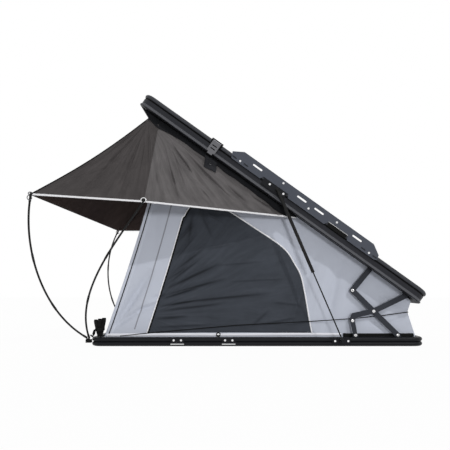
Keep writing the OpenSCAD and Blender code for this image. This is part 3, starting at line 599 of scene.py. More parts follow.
mesh_cloth = woven("dark_mesh", MESH_DARK, pitch=0.0012, rough=0.62, mottle=0.6, streaks=0.6,
                   fan=(-0.78, 0.20), painted_fold_shade=0.75)
piping_black = woven("black_piping", PIPING_BLACK, pitch=0.0010, rough=0.7)
piping_white = woven("pale_piping", PIPING_PALE, pitch=0.0010, rough=0.7, mottle=0.04)
sill = np.linspace(WINDOW[-1], WINDOW[0], 60)[1:-1]
outline = np.vstack([rounded_line(WINDOW, 420), sill])
rings = np.linspace(0.01, 1, 100)[:, None, None]
for side, name in SIDE_NAMES.items():
    fh = WINDOW_MIDDLE + rings * (outline - WINDOW_MIDDLE)
    points = on_side(side, fh[..., 0], fh[..., 1], lift=MESH_LIFT)
    x, z = points[..., 0], points[..., 2]
    folds = FOLD_GAIN * sum(height * ridge(x, z, a, b, width) for a, b, height, width in WINDOW_FOLDS)
    calm = np.clip((1 - rings[..., 0]) / SEWN_RIM, 0, 1)
    points[..., 1] += side * (folds + MESH_RAISE) * calm
    points = facing(points, side)
    panel = piece(f"window_{name}_mesh", points, mesh_cloth, uv=points[..., ::2], wrap=True, caps=(1, 0))
    # The crease attribute is painted shade: a narrow stroke on the lower side of each fold.
    crease = sum(height / FOLD_SHADE_FULL * ridge(x, z + 0.8 * width, a, b, 0.55 * width)
                 for a, b, height, width in WINDOW_FOLDS)
    marks = panel.data.attributes.new("crease", "FLOAT", "POINT")
    marks.data.foreach_set("value", facing(np.clip(crease, 0, 1), side).astype(np.float32).reshape(-1))
    packs_flat(panel)
    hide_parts(f"window_{name}")
    seam = rounded_line(WINDOW, 150)
    line = on_side(side, *seam.T, lift=PIPING_LIFT)
    front_f, front_h = seam[:FRONT_EDGE + 1].T
    beside = on_side(side, front_f - PALE_BESIDE, front_h, lift=PALE_LIFT)
    for edge_name, part, radius, finish in (("front", line[:FRONT_EDGE + 1], FRONT_PIPING_R, piping_black),
                                            ("front_pale", beside, PIPING_R, piping_white),
                                            ("rear", line[FRONT_EDGE:], PIPING_R, piping_white)):
        round_edge = tube(part, radius, 8)
        piping = piece(f"window_{name}_{edge_name}_piping", round_edge, finish, wrap=True, caps=(1, 1))
        packs_flat(piping)

# Seams, hem, zip and snap of the side walls.
# The canvas panels meet in a lapped seam, and a zip runs between two tapes beside the front edge.
# A hem runs along the foot of each side, pale at the front and black behind the strut, and a press stud
# in a rubber rim holds it down.
STITCH = (0.30, 0.31, 0.35)
HEM_PALE = (0.88, 0.89, 0.95)
HEM_BLACK = 0.009
ZIP_BLACK = 0.02
HEM_X, HEM_Z = (-1.03, 1.06), 0.0725
HEM_END = 0.585
HEM_WAVE = 0.0025
HEM_REAR_DROP = 0.005


def wall_share(x, z):
    """The shares f and h of a point in a side wall's plane, by a few rounds of substitution."""
    (x0, z0), (x1, _), (x2, z2), (x3, z3) = WALL_CORNERS
    f = (x - x0) / (x1 - x0)
    for _ in range(8):
        h = (z - z0) / (z2 + f * (z3 - z2) - z0)
        left, right = x0 + h * (x2 - x0), x1 + h * (x3 - x1)
        f = (x - front_bow(f, h) - left) / (right - left)
    return f, h


def wall_ribbon(side, line, width, lift, across=4):
    """A ribbon sewn on a side wall: the line in x and z, widened square to itself, lifted at its middle."""
    line = np.asarray(line, float)
    along = np.gradient(line, axis=0)
    along /= np.linalg.norm(along, axis=1, keepdims=True)
    square = np.stack([-along[:, 1], along[:, 0]], 1)
    share = np.linspace(-0.5, 0.5, across + 1)
    xz = line[:, None] + (share[:, None] * width) * square[:, None]
    rise = lift * np.clip(1.2 - (2 * np.abs(share)) ** 4, 0.1, 1)
    f, h = wall_share(xz[..., 0], xz[..., 1])
    return facing(on_side(side, f, h, lift=np.broadcast_to(rise, f.shape))[:, ::-1], side)


def side_line(start, end, count=60):
    """A straight line on a side wall between two places given as shares f and h, as x and z."""
    share = np.linspace(0, 1, count)[:, None]
    return wall_place(*(np.array(start) + share * (np.array(end) - np.array(start))).T)


stitched = woven("stitched_seam", STITCH, pitch=0.003, rough=0.9, mottle=0.08)
hem_cloth = woven("pale_hem", HEM_PALE, pitch=0.0018, mottle=0.05)
hem_black = woven("black_hem", HEM_BLACK, pitch=0.0018, rough=0.8, mottle=0.1)
tape_cloth = woven("zip_tape", np.array(CANVAS) * 1.07, pitch=0.0018, mottle=0.05)
zip_black = woven("zip_teeth", ZIP_BLACK, pitch=0.0022, rough=0.5, mottle=0.1, bump=0.9)
hem_x = np.linspace(*HEM_X, 160)
hem_z = HEM_Z + HEM_WAVE * np.sin(5 * hem_x) * np.sin(2.2 * hem_x + 1)
hem_front = np.stack([hem_x, hem_z], 1)[hem_x < HEM_END]
hem_rear = np.stack([hem_x, hem_z - HEM_REAR_DROP], 1)[hem_x > HEM_END]
for side, name in SIDE_NAMES.items():
    # Each ribbon's line, its width, how far its middle stands out, and its cloth.
    ribbons = (("seam", side_line((0.083, 0.66), (0.089, 0.06)), 0.009, 0.0016, stitched),
               ("front_tape", side_line((0.005, 0.03), (0.005, 0.93), 120), 0.018, 0.0022, tape_cloth),
               ("zip", side_line((0.0115, 0.035), (0.0110, 0.93), 120), 0.007, 0.0040, zip_black),
               ("zip_tape", side_line((0.0195, 0.035), (0.0185, 0.93), 120), 0.018, 0.0018, tape_cloth),
               ("hem", hem_front, 0.019, 0.0060, hem_cloth),
               ("hem_rear", hem_rear, 0.028, 0.0060, hem_black))
    for part, line, width, lift, finish in ribbons:
        made = piece(f"wall_{name}_{part}", wall_ribbon(side, line, width, lift), finish)
        packs_flat(made)


def spokes(axis, turn):
    """An axis at length one, and the directions square to it at each turn about it."""
    axis = np.array(axis, float) / np.linalg.norm(axis)
    spare = np.array([0.0, 0.0, 1.0]) if abs(axis[2]) < 0.9 else np.array([1.0, 0.0, 0.0])
    e = np.cross(axis, spare)
    e /= np.linalg.norm(e)
    return axis, np.cos(turn)[:, None] * e + np.sin(turn)[:, None] * np.cross(axis, e)


def turned(profile, centre, axis, sides=24):
    """A turned part: a profile of (radius, height) pairs carried round an axis through its centre."""
    axis, spoke = spokes(axis, np.linspace(0, 2 * np.pi, sides, endpoint=False))
    radius, height = np.array(profile, float).T
    return np.asarray(centre) + radius[:, None, None] * spoke + height[:, None, None] * axis


STUD = [(0.0100, 0.0), (0.0100, 0.0030), (0.0090, 0.0050), (0.0060, 0.0058), (0.0012, 0.0060)]
STUD_RIM = [(0.0160, -0.002), (0.0160, 0.0016), (0.0145, 0.0024), (0.0080, 0.0024), (0.0012, 0.0020)]
STUD_X, STUD_LIFT = -0.265, 0.006
STUD_BLACK = 0.010
stud_rubber = coated("stud_rim", STUD_BLACK, rough=0.5, grain=400.0)
for side, name in SIDE_NAMES.items():
    at = on_side(side, *wall_share(np.array(STUD_X), np.array(HEM_Z)), lift=STUD_LIFT)
    for part, profile, finish in (("stud", STUD, polished), ("stud_rim", STUD_RIM, stud_rubber)):
        made = piece(f"hem_{part}_{name}", turned(profile, at, (0, side, 0)), finish, wrap=True, caps=(1, 1))
        packs_flat(made)

# Door.
# The front wall opens in a tall arch, closed by a black coil zip that is sewn along it.
# The zip rides on the base with the canvas.
DOOR_HALF = [(-0.62, 0.07), (-0.62, 0.62), (-0.56, 0.78), (-0.40, 0.86)]
DOOR = DOOR_HALF + [(0.0, 0.88)] + [(-f, h) for f, h in DOOR_HALF[::-1]]
DOOR_ZIP_R, DOOR_ZIP_LIFT = 0.0045, 0.003
door_line = front_wall(*rounded_line(DOOR, 160).T, lift=DOOR_ZIP_LIFT)
door_zip = piece("door_zip", tube(door_line, DOOR_ZIP_R, 8), zip_black, wrap=True, caps=(1, 1))
packs_flat(door_zip)

# Awning.
# Charcoal coated cloth, brown inside, held under the lid rails and stretched out by four poles.
# On each side a gusset and a side panel meet in a seam at the ring; the front panel spans both corners.
# One cloth in two greys: the side panels' lighter grey is painted light, and the darker grey of the gussets
# and front panel is painted shade.
GUSSET_SHADED_GREY = (0.060, 0.0545, 0.0545)
SIDE_LIT_GREY = (0.120, 0.113, 0.114)
INSIDE_BROWN = (0.060, 0.045, 0.041)
FLY_THICK = 0.0022
FLY_U = (2.142, 1.020)
FRONT_U = 2.2528
FLY_Y = 0.6665
LIP_N = -0.003
APEX_DROP, APEX_OUT = 0.028, 0.022
FRONT_HALF = 0.646
HIP_TOP = (2.215, -0.045, -0.675)
HIP_SAG = 0.026
SIDE_BELLY, SIDE_WAVE, SIDE_SAG = 0.026, 0.005, 0.008
SIDE_STRAIN, SIDE_CREASE_GAIN = 0.0165, 3.0
GUSSET_BELLY, GUSSET_WAVE, GUSSET_RISE = 0.030, 0.006, 0.012
HIP_STRAIN, CORNER_STRAIN = 0.0095, 0.0075
STRAIN_WAVES, STRAIN_REACH = (11, 20, 33, 51), 0.5
BACK_N = -0.008
FLY_FRONT_BELLY, FLY_FRONT_SAG, FLY_FRONT_FOLD = 0.004, 0.006, 0.004
# Which way each panel faces, as the parts of a lift off it: out to its side, or ahead, and up.
SIDE_FACE, GUSSET_FACE, FRONT_FACE = (0.85, 0.45), (0.87, 0.45), (0.7, 0.7)
FLY_GRID = (180, 90)


def lid_place(u, n, y):
    """A point in the open lid: u up from its rear end, n above its lower edge, y across."""
    u, n, y = np.broadcast_arrays(*(np.asarray(v, float) for v in (u, n, y)))
    xz = LID_CORNER + u[..., None] * ALONG + n[..., None] * OUT
    return np.stack([xz[..., 0], y, xz[..., 1]], -1)


def rail_edge(t):
    """Top edge of the side panel along the lid rail: level but at its front end, which hangs to the seam."""
    low = np.clip(1 - np.asarray(t, float), 0, 1) ** 12
    return lid_place(FLY_U[0] + (FLY_U[1] - FLY_U[0]) * t, LIP_N - APEX_DROP * low,
                     -FLY_Y - APEX_OUT * low)


APEX = rail_edge(0.0)
HIP = lid_place(*HIP_TOP)
CORNER = np.array([-1.348, -1.150, 0.950])
RING = np.array([-0.713, -0.983, 0.931])
BACK = lid_place(FLY_U[1], BACK_N, -FLY_Y)
# Creases of the side panel: start and end in x and z, height (in is positive) and width.
SIDE_CREASES = [((-0.60, 1.37), (-0.45, 0.99), 0.010, 0.013), ((-0.60, 1.38), (-0.28, 0.97), 0.009, 0.012),
                ((-0.57, 1.37), (-0.12, 0.94), 0.008, 0.014), ((-0.56, 1.18), (-0.52, 1.06), -0.007, 0.009),
                ((-0.47, 1.23), (-0.40, 1.11), -0.007, 0.009), ((-0.42, 1.11), (-0.30, 0.98), -0.006, 0.010),
                ((-0.22, 1.10), (-0.05, 0.94), 0.007, 0.012), ((-0.05, 1.03), (0.12, 0.93), 0.006, 0.012),
                ((-0.63, 1.35), (-0.66, 1.00), 0.007, 0.010), ((-0.66, 1.20), (-0.62, 1.02), -0.006, 0.009)]


def mix(a, b, t):
    """The point at share t from a to b."""
    return a + (b - a) * np.asarray(t)[..., None]


def sag(a, b):
    """One belly between the edges of a panel."""
    return np.sin(np.pi * np.clip(a, 0, 1)) * np.sin(np.pi * np.clip(b, 0, 1))


def strain(points, apex, height, seed):
    """Tension folds that run out from a corner: sharp-crested waves in the angle about it, widest at
    middle reach."""
    d = points - apex
    far = np.linalg.norm(d, axis=-1) / STRAIN_REACH
    angle = np.arctan2(d[..., 2], d[..., 0])
    waves = sum((0.64 - np.abs(np.sin(k * angle + seed * k))) / n for n, k in enumerate(STRAIN_WAVES, 1))
    return height * waves * 2.7 * far * np.exp(-far)


def side_panel(t, v, lift=0.0):
    """Near side panel: ruled from the lid rail, front to rear, down to the edge from ring to rail, with
    a belly, the folds from the apex and its own creases."""
    t, v = np.broadcast_arrays(np.asarray(t, float), np.asarray(v, float))
    top = rail_edge(t)
    flat = top + (mix(RING, BACK, t) - top) * v[..., None]
    belly = sag(v, t)
    calm = np.clip(belly * 4, 0, 1)
    creases = sum(height * ridge(flat[..., 0], flat[..., 2], a, b, width)
                  for a, b, height, width in SIDE_CREASES)
    folds = (strain(flat, APEX, SIDE_STRAIN, seed=1.3) + SIDE_CREASE_GAIN * creases) * calm
    depth = SIDE_BELLY + SIDE_WAVE * np.sin(8 * np.pi * t)
    flat[..., 1] += belly * depth + folds - lift * SIDE_FACE[0]
    flat[..., 2] += -SIDE_SAG * belly + lift * SIDE_FACE[1]
    return flat


def gusset(w, v, lift=0.0):
    """Near gusset: ruled from its short top edge, between hip and seam, to the edge from corner to ring,
    sagging along the hip."""
    w, v = np.broadcast_arrays(np.asarray(w, float), np.asarray(v, float))
    top = mix(HIP, APEX, w)
    flat = top + (mix(CORNER, RING, w) - top) * v[..., None]
    belly = sag(v, w)
    calm = np.clip(belly * 4, 0, 1)
    folds = (strain(flat, HIP, HIP_STRAIN, seed=0.4) + strain(flat, CORNER, CORNER_STRAIN, seed=2.1)) * calm
    depth = GUSSET_BELLY + GUSSET_WAVE * np.sin(6 * np.pi * w)
    flat[..., 1] += belly * depth + folds - lift * GUSSET_FACE[0]
    flat[..., 2] += GUSSET_RISE * belly + lift * GUSSET_FACE[1] - HIP_SAG * np.sin(np.pi * v) * (1 - w) ** 2
    return flat


def front_panel(w, v, lift=0.0):
    """Front panel: ruled from the front rail down to the edge between both corners, sagging at the hips."""
    w, v = np.broadcast_arrays(np.asarray(w, float), np.asarray(v, float))
    y = 2 * w - 1
    end = np.abs(y) ** 12
    hip_u, hip_n, hip_y = HIP_TOP
    top = lid_place(FRONT_U + (hip_u - FRONT_U) * end, LIP_N + (hip_n - LIP_N) * end,
                    y * (FRONT_HALF - (FRONT_HALF + hip_y) * end))
    low = np.stack([np.full_like(y, CORNER[0]), -y * CORNER[1], np.full_like(y, CORNER[2])], -1)
    flat = top + (low - top) * v[..., None]
    belly = sag(v, w)
    folds = FLY_FRONT_FOLD * np.sin(26 * np.pi * w) * np.sin(np.pi * w) * v * (1 - v) * 4
    flat[..., 0] += FLY_FRONT_BELLY * belly - lift * FRONT_FACE[0]
    flat[..., 2] += folds - FLY_FRONT_SAG * belly + lift * FRONT_FACE[1]
    flat[..., 2] -= HIP_SAG * np.sin(np.pi * v) * y ** 8
    return flat


def mirrored(points, side):
    """A near piece's points on the side asked for, with its faces still outwards."""
    return points if side < 0 else (points * (1, -1, 1))[:, ::-1]


def folds_under(made, body):
    """Awning cloth: it rides on the given awning body, with a mesh of its own."""
    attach(made, body)
    if body == "awning_front":
        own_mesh(made)
    else:
        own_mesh(made)


hip_xz = HIP[::2].tolist()
side_cloth = woven("awning_side_cloth", SIDE_LIT_GREY, pitch=0.0011, rough=0.74, mottle=0.85, streaks=0.6,
                   fan=hip_xz)
gusset_cloth = woven("awning_gusset_cloth", GUSSET_SHADED_GREY, pitch=0.0011, rough=0.72, mottle=0.7, streaks=0.6,
                     fan=hip_xz)
inside_cloth = woven("awning_inside", INSIDE_BROWN, pitch=0.0011, rough=0.9, mottle=0.4, gloss=0.0)
t, v = np.meshgrid(*(np.linspace(0, 1, count) for count in FLY_GRID), indexing="ij")
# Each panel's points, cloth, flat size and area.
panels = [("side", side_panel(t, v), side_cloth, (1.13, 0.68), 0.39),
          ("gusset", gusset(t, v), gusset_cloth, (0.76, 0.98), 0.26)]
for side, name in SIDE_NAMES.items():
    for part, points, finish, flat, area in panels:
        outward = mirrored(points, side)
        cloth = piece(f"awning_{part}_{name}", outward, finish, thick=FLY_THICK, inside=inside_cloth)
        folds_under(cloth, f"awning_{name}")
        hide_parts(f"fly_{part}_{name}")
outward = front_panel(t, v)[:, ::-1]
cloth = piece("awning_front_cloth", outward, gusset_cloth, thick=FLY_THICK, inside=inside_cloth)
folds_under(cloth, "awning_front")
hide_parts("fly_front")

# Awning edges.
# A woven binding, pale at the sides and black at the front, is sewn along the lower edge. Black webbing
# covers the hips from the lid's corners to the poles, and a broad black hem with a wavy edge hangs from
# the lid rails over the top of each side: a real hem, widened with painted shade where the lid shades the
# cloth.
BINDING = (0.78, 0.78, 0.80)
WEB_BLACK = 0.007
TOP_HEM_AND_SHADE_BLACK = (0.0115, 0.0120, 0.0140)
BINDING_WIDE, BINDING_THICK = 0.0125, 0.005
TOP_HEM_WIDE, TOP_HEM_LIFT, TOP_HEM_THICK = 0.046, 0.007, 0.0012
TOP_HEM_FRONT = -0.145
TOP_HEM_N, TOP_HEM_OUT = -0.001, 0.002


def band(path, wide, width, thick, sides=12):
    """A flat band carried along a path: a rounded rectangle, width along wide and thickness square to it."""
    path = np.asarray(path, float)
    tangent = np.gradient(path, axis=0)
    tangent /= np.linalg.norm(tangent, axis=1, keepdims=True)
    wide = np.broadcast_to(np.asarray(wide, float), path.shape)
    wide = wide - tangent * (wide * tangent).sum(1, keepdims=True)
    wide = wide / np.linalg.norm(wide, axis=1, keepdims=True)
    deep = np.cross(tangent, wide)
    turn = np.linspace(0, 2 * np.pi, sides, endpoint=False) + np.pi / sides
    a = np.sign(np.cos(turn)) * np.abs(np.cos(turn)) ** 0.45 * width / 2
    b = np.sign(np.sin(turn)) * np.abs(np.sin(turn)) ** 0.45 * thick / 2
    return path[:, None] + a[:, None] * wide[:, None] + b[:, None] * deep[:, None]


binding = woven("pale_binding", BINDING, pitch=0.0014, rough=0.6, mottle=0.05)
webbing = woven("black_webbing", WEB_BLACK, pitch=0.0030, rough=0.7, mottle=0.2, bump=0.7)
edge = np.linspace(0, 1, 90)
up_in = np.array([0.0, 0.45, 0.9])
lower = np.vstack([gusset(edge, 1.0, 0.001), side_panel(edge[1:], 1.0, 0.001)])
hip = gusset(0.0, 0.03 + 0.96 * edge, 0.003) - np.array([0.002, 0.0, 0.0])
seam = side_panel(0.0, 0.02 + 0.96 * edge, 0.0025)
# Each trim's path, the way that its width lies, its width, thickness, cloth and slot.
trims = [("binding", lower, up_in, BINDING_WIDE, BINDING_THICK, binding, "canvas"),
         ("hip_webbing", hip, (0.35, -0.9, 0.3), 0.014, 0.0026, webbing, "webbing"),
         ("seam_tape", seam, (1.0, 0.0, 0.0), 0.010, 0.0020, gusset_cloth, "awning_cloth")]
for side, name in SIDE_NAMES.items():
    for part, path, wide, width, thick, finish, slot in trims:
        points = mirrored(band(path, wide, width, thick), side)
        made = piece(f"awning_{part}_{name}", points, finish, wrap=True, caps=(1, 1))
        folds_under(made, f"awning_{name}")
front_edge = band(front_panel(edge, 1.0, 0.001), (0.7, 0, 0.7), BINDING_WIDE, BINDING_THICK)
made = piece("awning_front_binding", front_edge, webbing, wrap=True, caps=(1, 1))
folds_under(made, "awning_front")


def hem_lip(t):
    """The line on the lid's lip that the hem hangs from, at share t along the side panel."""
    return lid_place(FLY_U[0] + (FLY_U[1] - FLY_U[0]) * t, TOP_HEM_N, -FLY_Y - TOP_HEM_OUT)


def top_hem(t, share):
    """Black hem over the side panel, partly painted shade under the lid: from the lid's lip down to a wavy
    line on the cloth, and drawn to a point at the lid's front corner."""
    lip = hem_lip(t)
    cloth_t = np.clip(t, 0, 1)
    drop = np.linalg.norm(mix(RING, BACK, cloth_t) - rail_edge(cloth_t), axis=-1)
    waves = 0.002 * np.sin(29 * t) + 0.0015 * np.sin(53 * t + 1) + 0.012 * np.exp(-((t - 0.86) / 0.07) ** 2)
    reach = np.minimum((TOP_HEM_WIDE + waves) / drop, 0.97)
    low = side_panel(cloth_t, reach * share, TOP_HEM_LIFT)
    low = low + (lip - rail_edge(cloth_t)) * (1 - share[..., None])
    start = side_panel(0.0, TOP_HEM_WIDE / drop.max(), TOP_HEM_LIFT)
    marks = np.stack([hem_lip(TOP_HEM_FRONT), HIP, start], 1)
    ahead = np.stack([np.interp(t, (TOP_HEM_FRONT, TOP_HEM_FRONT / 2, 0), axis) for axis in marks], -1)
    return np.where(t[..., None] < 0, lip + (ahead - lip) * share[..., None], low)


# The black hem stands for the real hem and for painted shade below the lid.
top_hem_and_shade_cloth = woven("top_hem_and_shade_cloth", TOP_HEM_AND_SHADE_BLACK, pitch=0.0020, rough=0.8, mottle=0.2)
hem_t, hem_share = np.meshgrid(np.linspace(TOP_HEM_FRONT, 1, 200), np.linspace(0, 1, 8), indexing="ij")
for side, name in SIDE_NAMES.items():
    points = mirrored(top_hem(hem_t, hem_share), side)
    made = piece(f"awning_top_hem_{name}", points, top_hem_and_shade_cloth, thick=TOP_HEM_THICK)
    folds_under(made, f"awning_{name}")

# Rings and corner fittings.
# Bright eyelets with a black eye in the binding take the tips of the side poles, and a small ring and hook
# of dark wire hang at each front corner.
RING_R = (0.0160, 0.0036)
CORNER_RING_R = (0.011, 0.0030)
HOOK_R, HOOK_SWEEP = (0.014, 0.0026), 4.6
RUBBER_BLACK = 0.012
EYE_BLACK = [(0.0125, -0.001), (0.0125, 0.0008), (0.0080, 0.0014), (0.0010, 0.0014)]


def hoop(centre, axis, radius, wire, sides=10, steps=40, sweep=2 * np.pi):
    """A ring, or part of one: a round wire carried round a circle about an axis through its centre."""
    axis, spoke = spokes(axis, np.linspace(0, sweep, steps, endpoint=sweep < 2 * np.pi))
    a = np.linspace(0, 2 * np.pi, sides, endpoint=False)[None, :, None]
    ring = spoke[:, None] * (radius + wire * np.cos(a)) + axis * wire * np.sin(a)
    return np.asarray(centre) + ring[:, ::-1]


rubber = coated("pole_rubber", RUBBER_BLACK, rough=0.6, grain=400.0)
face_out = np.array([0.0, -0.92, 0.38])
for side, name in SIDE_NAMES.items():
    ring_at = RING + (0.002, -0.004, 0.008)
    corner_at = CORNER + (-0.004, -0.004, 0.004)
    hook_at = corner_at + (-0.004, -0.002, -0.024)
    fittings = [("ring", hoop(ring_at, face_out, *RING_R), polished, True),
                ("ring_eye", turned(EYE_BLACK, ring_at, face_out), rubber, False),
                ("corner_ring", hoop(corner_at, (0.3, -0.8, 0.5), *CORNER_RING_R), dark_plated, True),
                ("corner_hook", hoop(hook_at, (0, 1, 0), *HOOK_R, sweep=HOOK_SWEEP), dark_plated, False)]
    for part, points, finish, loop in fittings:
        made = piece(f"awning_{part}_{name}", mirrored(points, side), finish, wrap=True, loop=loop,
                     caps=(0, 0) if loop else (1, 1))
        folds_under(made, f"awning_{name}")

# Poles.
# Two black tubes on each side, shock-corded in sections with slim sleeves, spring out of a socket at the
# base's front corner; one bows to the awning's corner and the other to the ring.
POLE_BLACK = 0.007
POLE_R = 0.0064
SLEEVE_R = 0.0075
SLEEVE_HALF, FOOT_SLEEVE = 0.025, 0.03
TIP_R = 0.002
FOOT = np.array([-1.145, -0.660, 0.050])
POLE_STARTS = (FOOT + (-0.006, -0.004, 0.0045), FOOT + (0.006, 0.006, 0.0030))
POLE_TIPS = (CORNER + (0.0, -0.008, -0.006), RING + (0.0, -0.008, -0.006))
POLE_PULLS = (((-0.250, -0.169, 0.182), (-0.118, 0.168, -0.290)),
              ((-0.051, -0.174, 0.294), (-0.223, 0.108, -0.276)))
SLEEVES = (0.30, 0.62)
pole_black = coated("pole_coat", POLE_BLACK, rough=0.30, grain=120.0, gloss=0.2)
cap_radii = np.r_[TIP_R, POLE_R, np.full(9, SLEEVE_R), POLE_R]
share = np.linspace(0, 1, 160)[:, None]
for side, name in SIDE_NAMES.items():
    for place, start, tip, pulls in zip(("corner", "side"), POLE_STARTS, POLE_TIPS, POLE_PULLS):
        p0, p1, p2, p3 = start, start + pulls[0], tip + pulls[1], tip
        path = ((1 - share) ** 3 * p0 + 3 * (1 - share) ** 2 * share * p1 + 3 * (1 - share) * share ** 2 * p2
                + share ** 3 * p3)
        radius = np.full(len(path), POLE_R)
        for at in SLEEVES:
            radius[np.abs(share[:, 0] - at) < SLEEVE_HALF] = SLEEVE_R
        radius[share[:, 0] < FOOT_SLEEVE] = SLEEVE_R
        points = mirrored(tube(path, radius, 14), side)
        made = piece(f"pole_{place}_{name}", points, pole_black, wrap=True, caps=(1, 1))
        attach(made, f"poles_{name}")
        if place == "corner":
            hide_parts(f"poles_{name}")
        cap = tube(mix(path[-1], path[-8], np.linspace(-0.4, 1, len(cap_radii))), cap_radii, 14)
        made = piece(f"pole_{place}_tip_{name}", mirrored(cap, side), rubber, wrap=True, caps=(1, 1))
        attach(made, f"poles_{name}")

# Latch patch.
# A square of black webbing with a dark plated eyelet is sewn to each side panel, under the latch.
# It rides on the awning body with the panel.
PATCH_T, PATCH_V = (0.330, 0.415), (0.05, 0.25)
PATCH_LIFT, PATCH_THICK = 0.010, 0.003
EYELET_R, EYELET_LIFT = (0.008, 0.0026), 0.0115
PATCH_BLACK = (0.026, 0.027, 0.031)
patch_cloth = woven("patch_webbing", PATCH_BLACK, pitch=0.0030, rough=0.7, mottle=0.2, bump=0.7)
patch_t, patch_v = np.meshgrid(np.linspace(*PATCH_T, 14), np.linspace(*PATCH_V, 14), indexing="ij")
for side, name in SIDE_NAMES.items():
    points = mirrored(side_panel(patch_t, patch_v, PATCH_LIFT), side)
    made = piece(f"latch_patch_{name}", points, patch_cloth, thick=PATCH_THICK)
    folds_under(made, f"awning_{name}")
    at = side_panel(np.mean(PATCH_T), np.mean(PATCH_V), EYELET_LIFT)
    points = mirrored(hoop(at, (0.3, -0.85, 0.43), *EYELET_R), side)
    made = piece(f"latch_eyelet_{name}", points, dark_plated, wrap=True, loop=True)
    folds_under(made, f"awning_{name}")

# Closing strap.
# The webbing that pulls the lid down is folded into loops at the near front corner of the base, wrapped
# once round its middle, and its tail lies over the edge of the tray.
STRAP_FOOT = np.array([-1.066, -0.654, 0.062])
STRAP_WIDE, STRAP_THICK = 0.026, 0.0030
STRAP_TURNS = np.radians([55, 95, 140])
STRAP_LEAN = 0.24
STRAP_LOOP = [(-0.010, 0.001), (-0.011, 0.045), (-0.010, 0.098), (0.0, 0.116), (0.010, 0.098), (0.011, 0.045),
              (0.010, 0.001)]
STRAP_TAIL = [(-0.012, -0.014, 0.062), (-0.030, -0.018, 0.045), (-0.040, -0.020, 0.014),
              (-0.052, -0.030, 0.004)]
KNOT_HALF, KNOT_RISE, KNOT_TILT = (0.028, 0.024), 0.054, 0.006
KNOT_WIDE, KNOT_THICK = 0.024, 0.008
TAIL_WIDE = 0.024


def strap(name, path, wide, width, thick):
    """A length of the closing strap: it lies on the base and rides on it."""
    made = piece(name, band(path, wide, width, thick), webbing, wrap=True, caps=(1, 1))
    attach(made, "base")
    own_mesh(made)
    return made


for number, turn in enumerate(STRAP_TURNS, 1):
    reach, rise = rounded_line(STRAP_LOOP, 60).T
    loop = np.stack([reach * np.cos(turn), reach * np.sin(turn), rise * (0.94 + 0.05 * number)], 1)
    loop[:, 0] += STRAP_LEAN * (number - 2) * rise
    flat_way = (-np.sin(turn), np.cos(turn), 0)
    made = strap(f"closing_strap_{number}", STRAP_FOOT + loop, flat_way, STRAP_WIDE, STRAP_THICK)
    if number == 1:
        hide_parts("closing_strap")
turn = np.linspace(0, 2 * np.pi, 48, endpoint=False)
wrap_path = np.stack([KNOT_HALF[0] * np.cos(turn), KNOT_HALF[1] * np.sin(turn),
                      KNOT_RISE + KNOT_TILT * np.sin(turn)], 1)
strap("closing_strap_knot", STRAP_FOOT + wrap_path, (0, 0, 1), KNOT_WIDE, KNOT_THICK)
tail = STRAP_FOOT + rounded_line(STRAP_TAIL, 40)
strap("closing_strap_tail", tail, (0.5, 0.6, 0.5), TAIL_WIDE, STRAP_THICK)

# Shock cord.
# A black elastic cord runs along both sides of the tent body and round its waist at the rear, held
# against the cloth, and rides on the base.
CORD_R = 0.003
CORD_CLOTH, CORD_GAP, CORD_REAR_GAP = 0.001, 0.00015, 0.0006
CORD_Y = WALL_Y + CORD_CLOTH + CORD_R + CORD_GAP
CORD_SIDE = ((0.05, 0.028), (0.172, 0.051), (0.42, 0.11), (0.657, 0.184), (0.787, 0.26), (0.892, 0.369))
CORD_X = WAIST[0] + CORD_R + CORD_REAR_GAP
CORD_Z = WAIST[1]
near_xz = wall_place(*np.array(CORD_SIDE).T)
near = np.stack([near_xz[:, 0], np.full(len(near_xz), -CORD_Y), near_xz[:, 1]], 1)
bend = np.array([(CORD_X - 0.014, -CORD_Y, CORD_Z - 0.0014), (CORD_X - 0.0036, -CORD_Y, CORD_Z - 0.0004),
                 (CORD_X - 0.0011, -CORD_Y + 0.0011, CORD_Z - 0.0001), (CORD_X, -CORD_Y + 0.0036, CORD_Z),
                 (CORD_X, -CORD_Y / 2, CORD_Z), (CORD_X, 0.0, CORD_Z)])
half_route = np.vstack([near, bend])
route = np.vstack([half_route, half_route[-2::-1] * (1, -1, 1)])
run = np.r_[0, np.linalg.norm(np.diff(route, axis=0), axis=1).cumsum()]
fine_run = np.unique(np.r_[np.linspace(0, run[-1], 260), run])
cord_path = np.stack([np.interp(fine_run, run, axis) for axis in route.T], 1)
made = piece("shock_cord_line", tube(cord_path, CORD_R, 10), webbing, wrap=True, caps=(1, 1))
packs_flat(made)
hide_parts("shock_cord")

# Mattress.
# A foam pad in a dark woven cover, crowned on top, a little drawn in at its corners, with sewn channels.
# It lies on the floor and stays there as the lid comes down.
PAD_HALF = np.array([1.008, 0.598])
PAD_Z = (0.0225, 0.0725)
PAD_CORNER, PAD_PULL = 0.22, 0.014
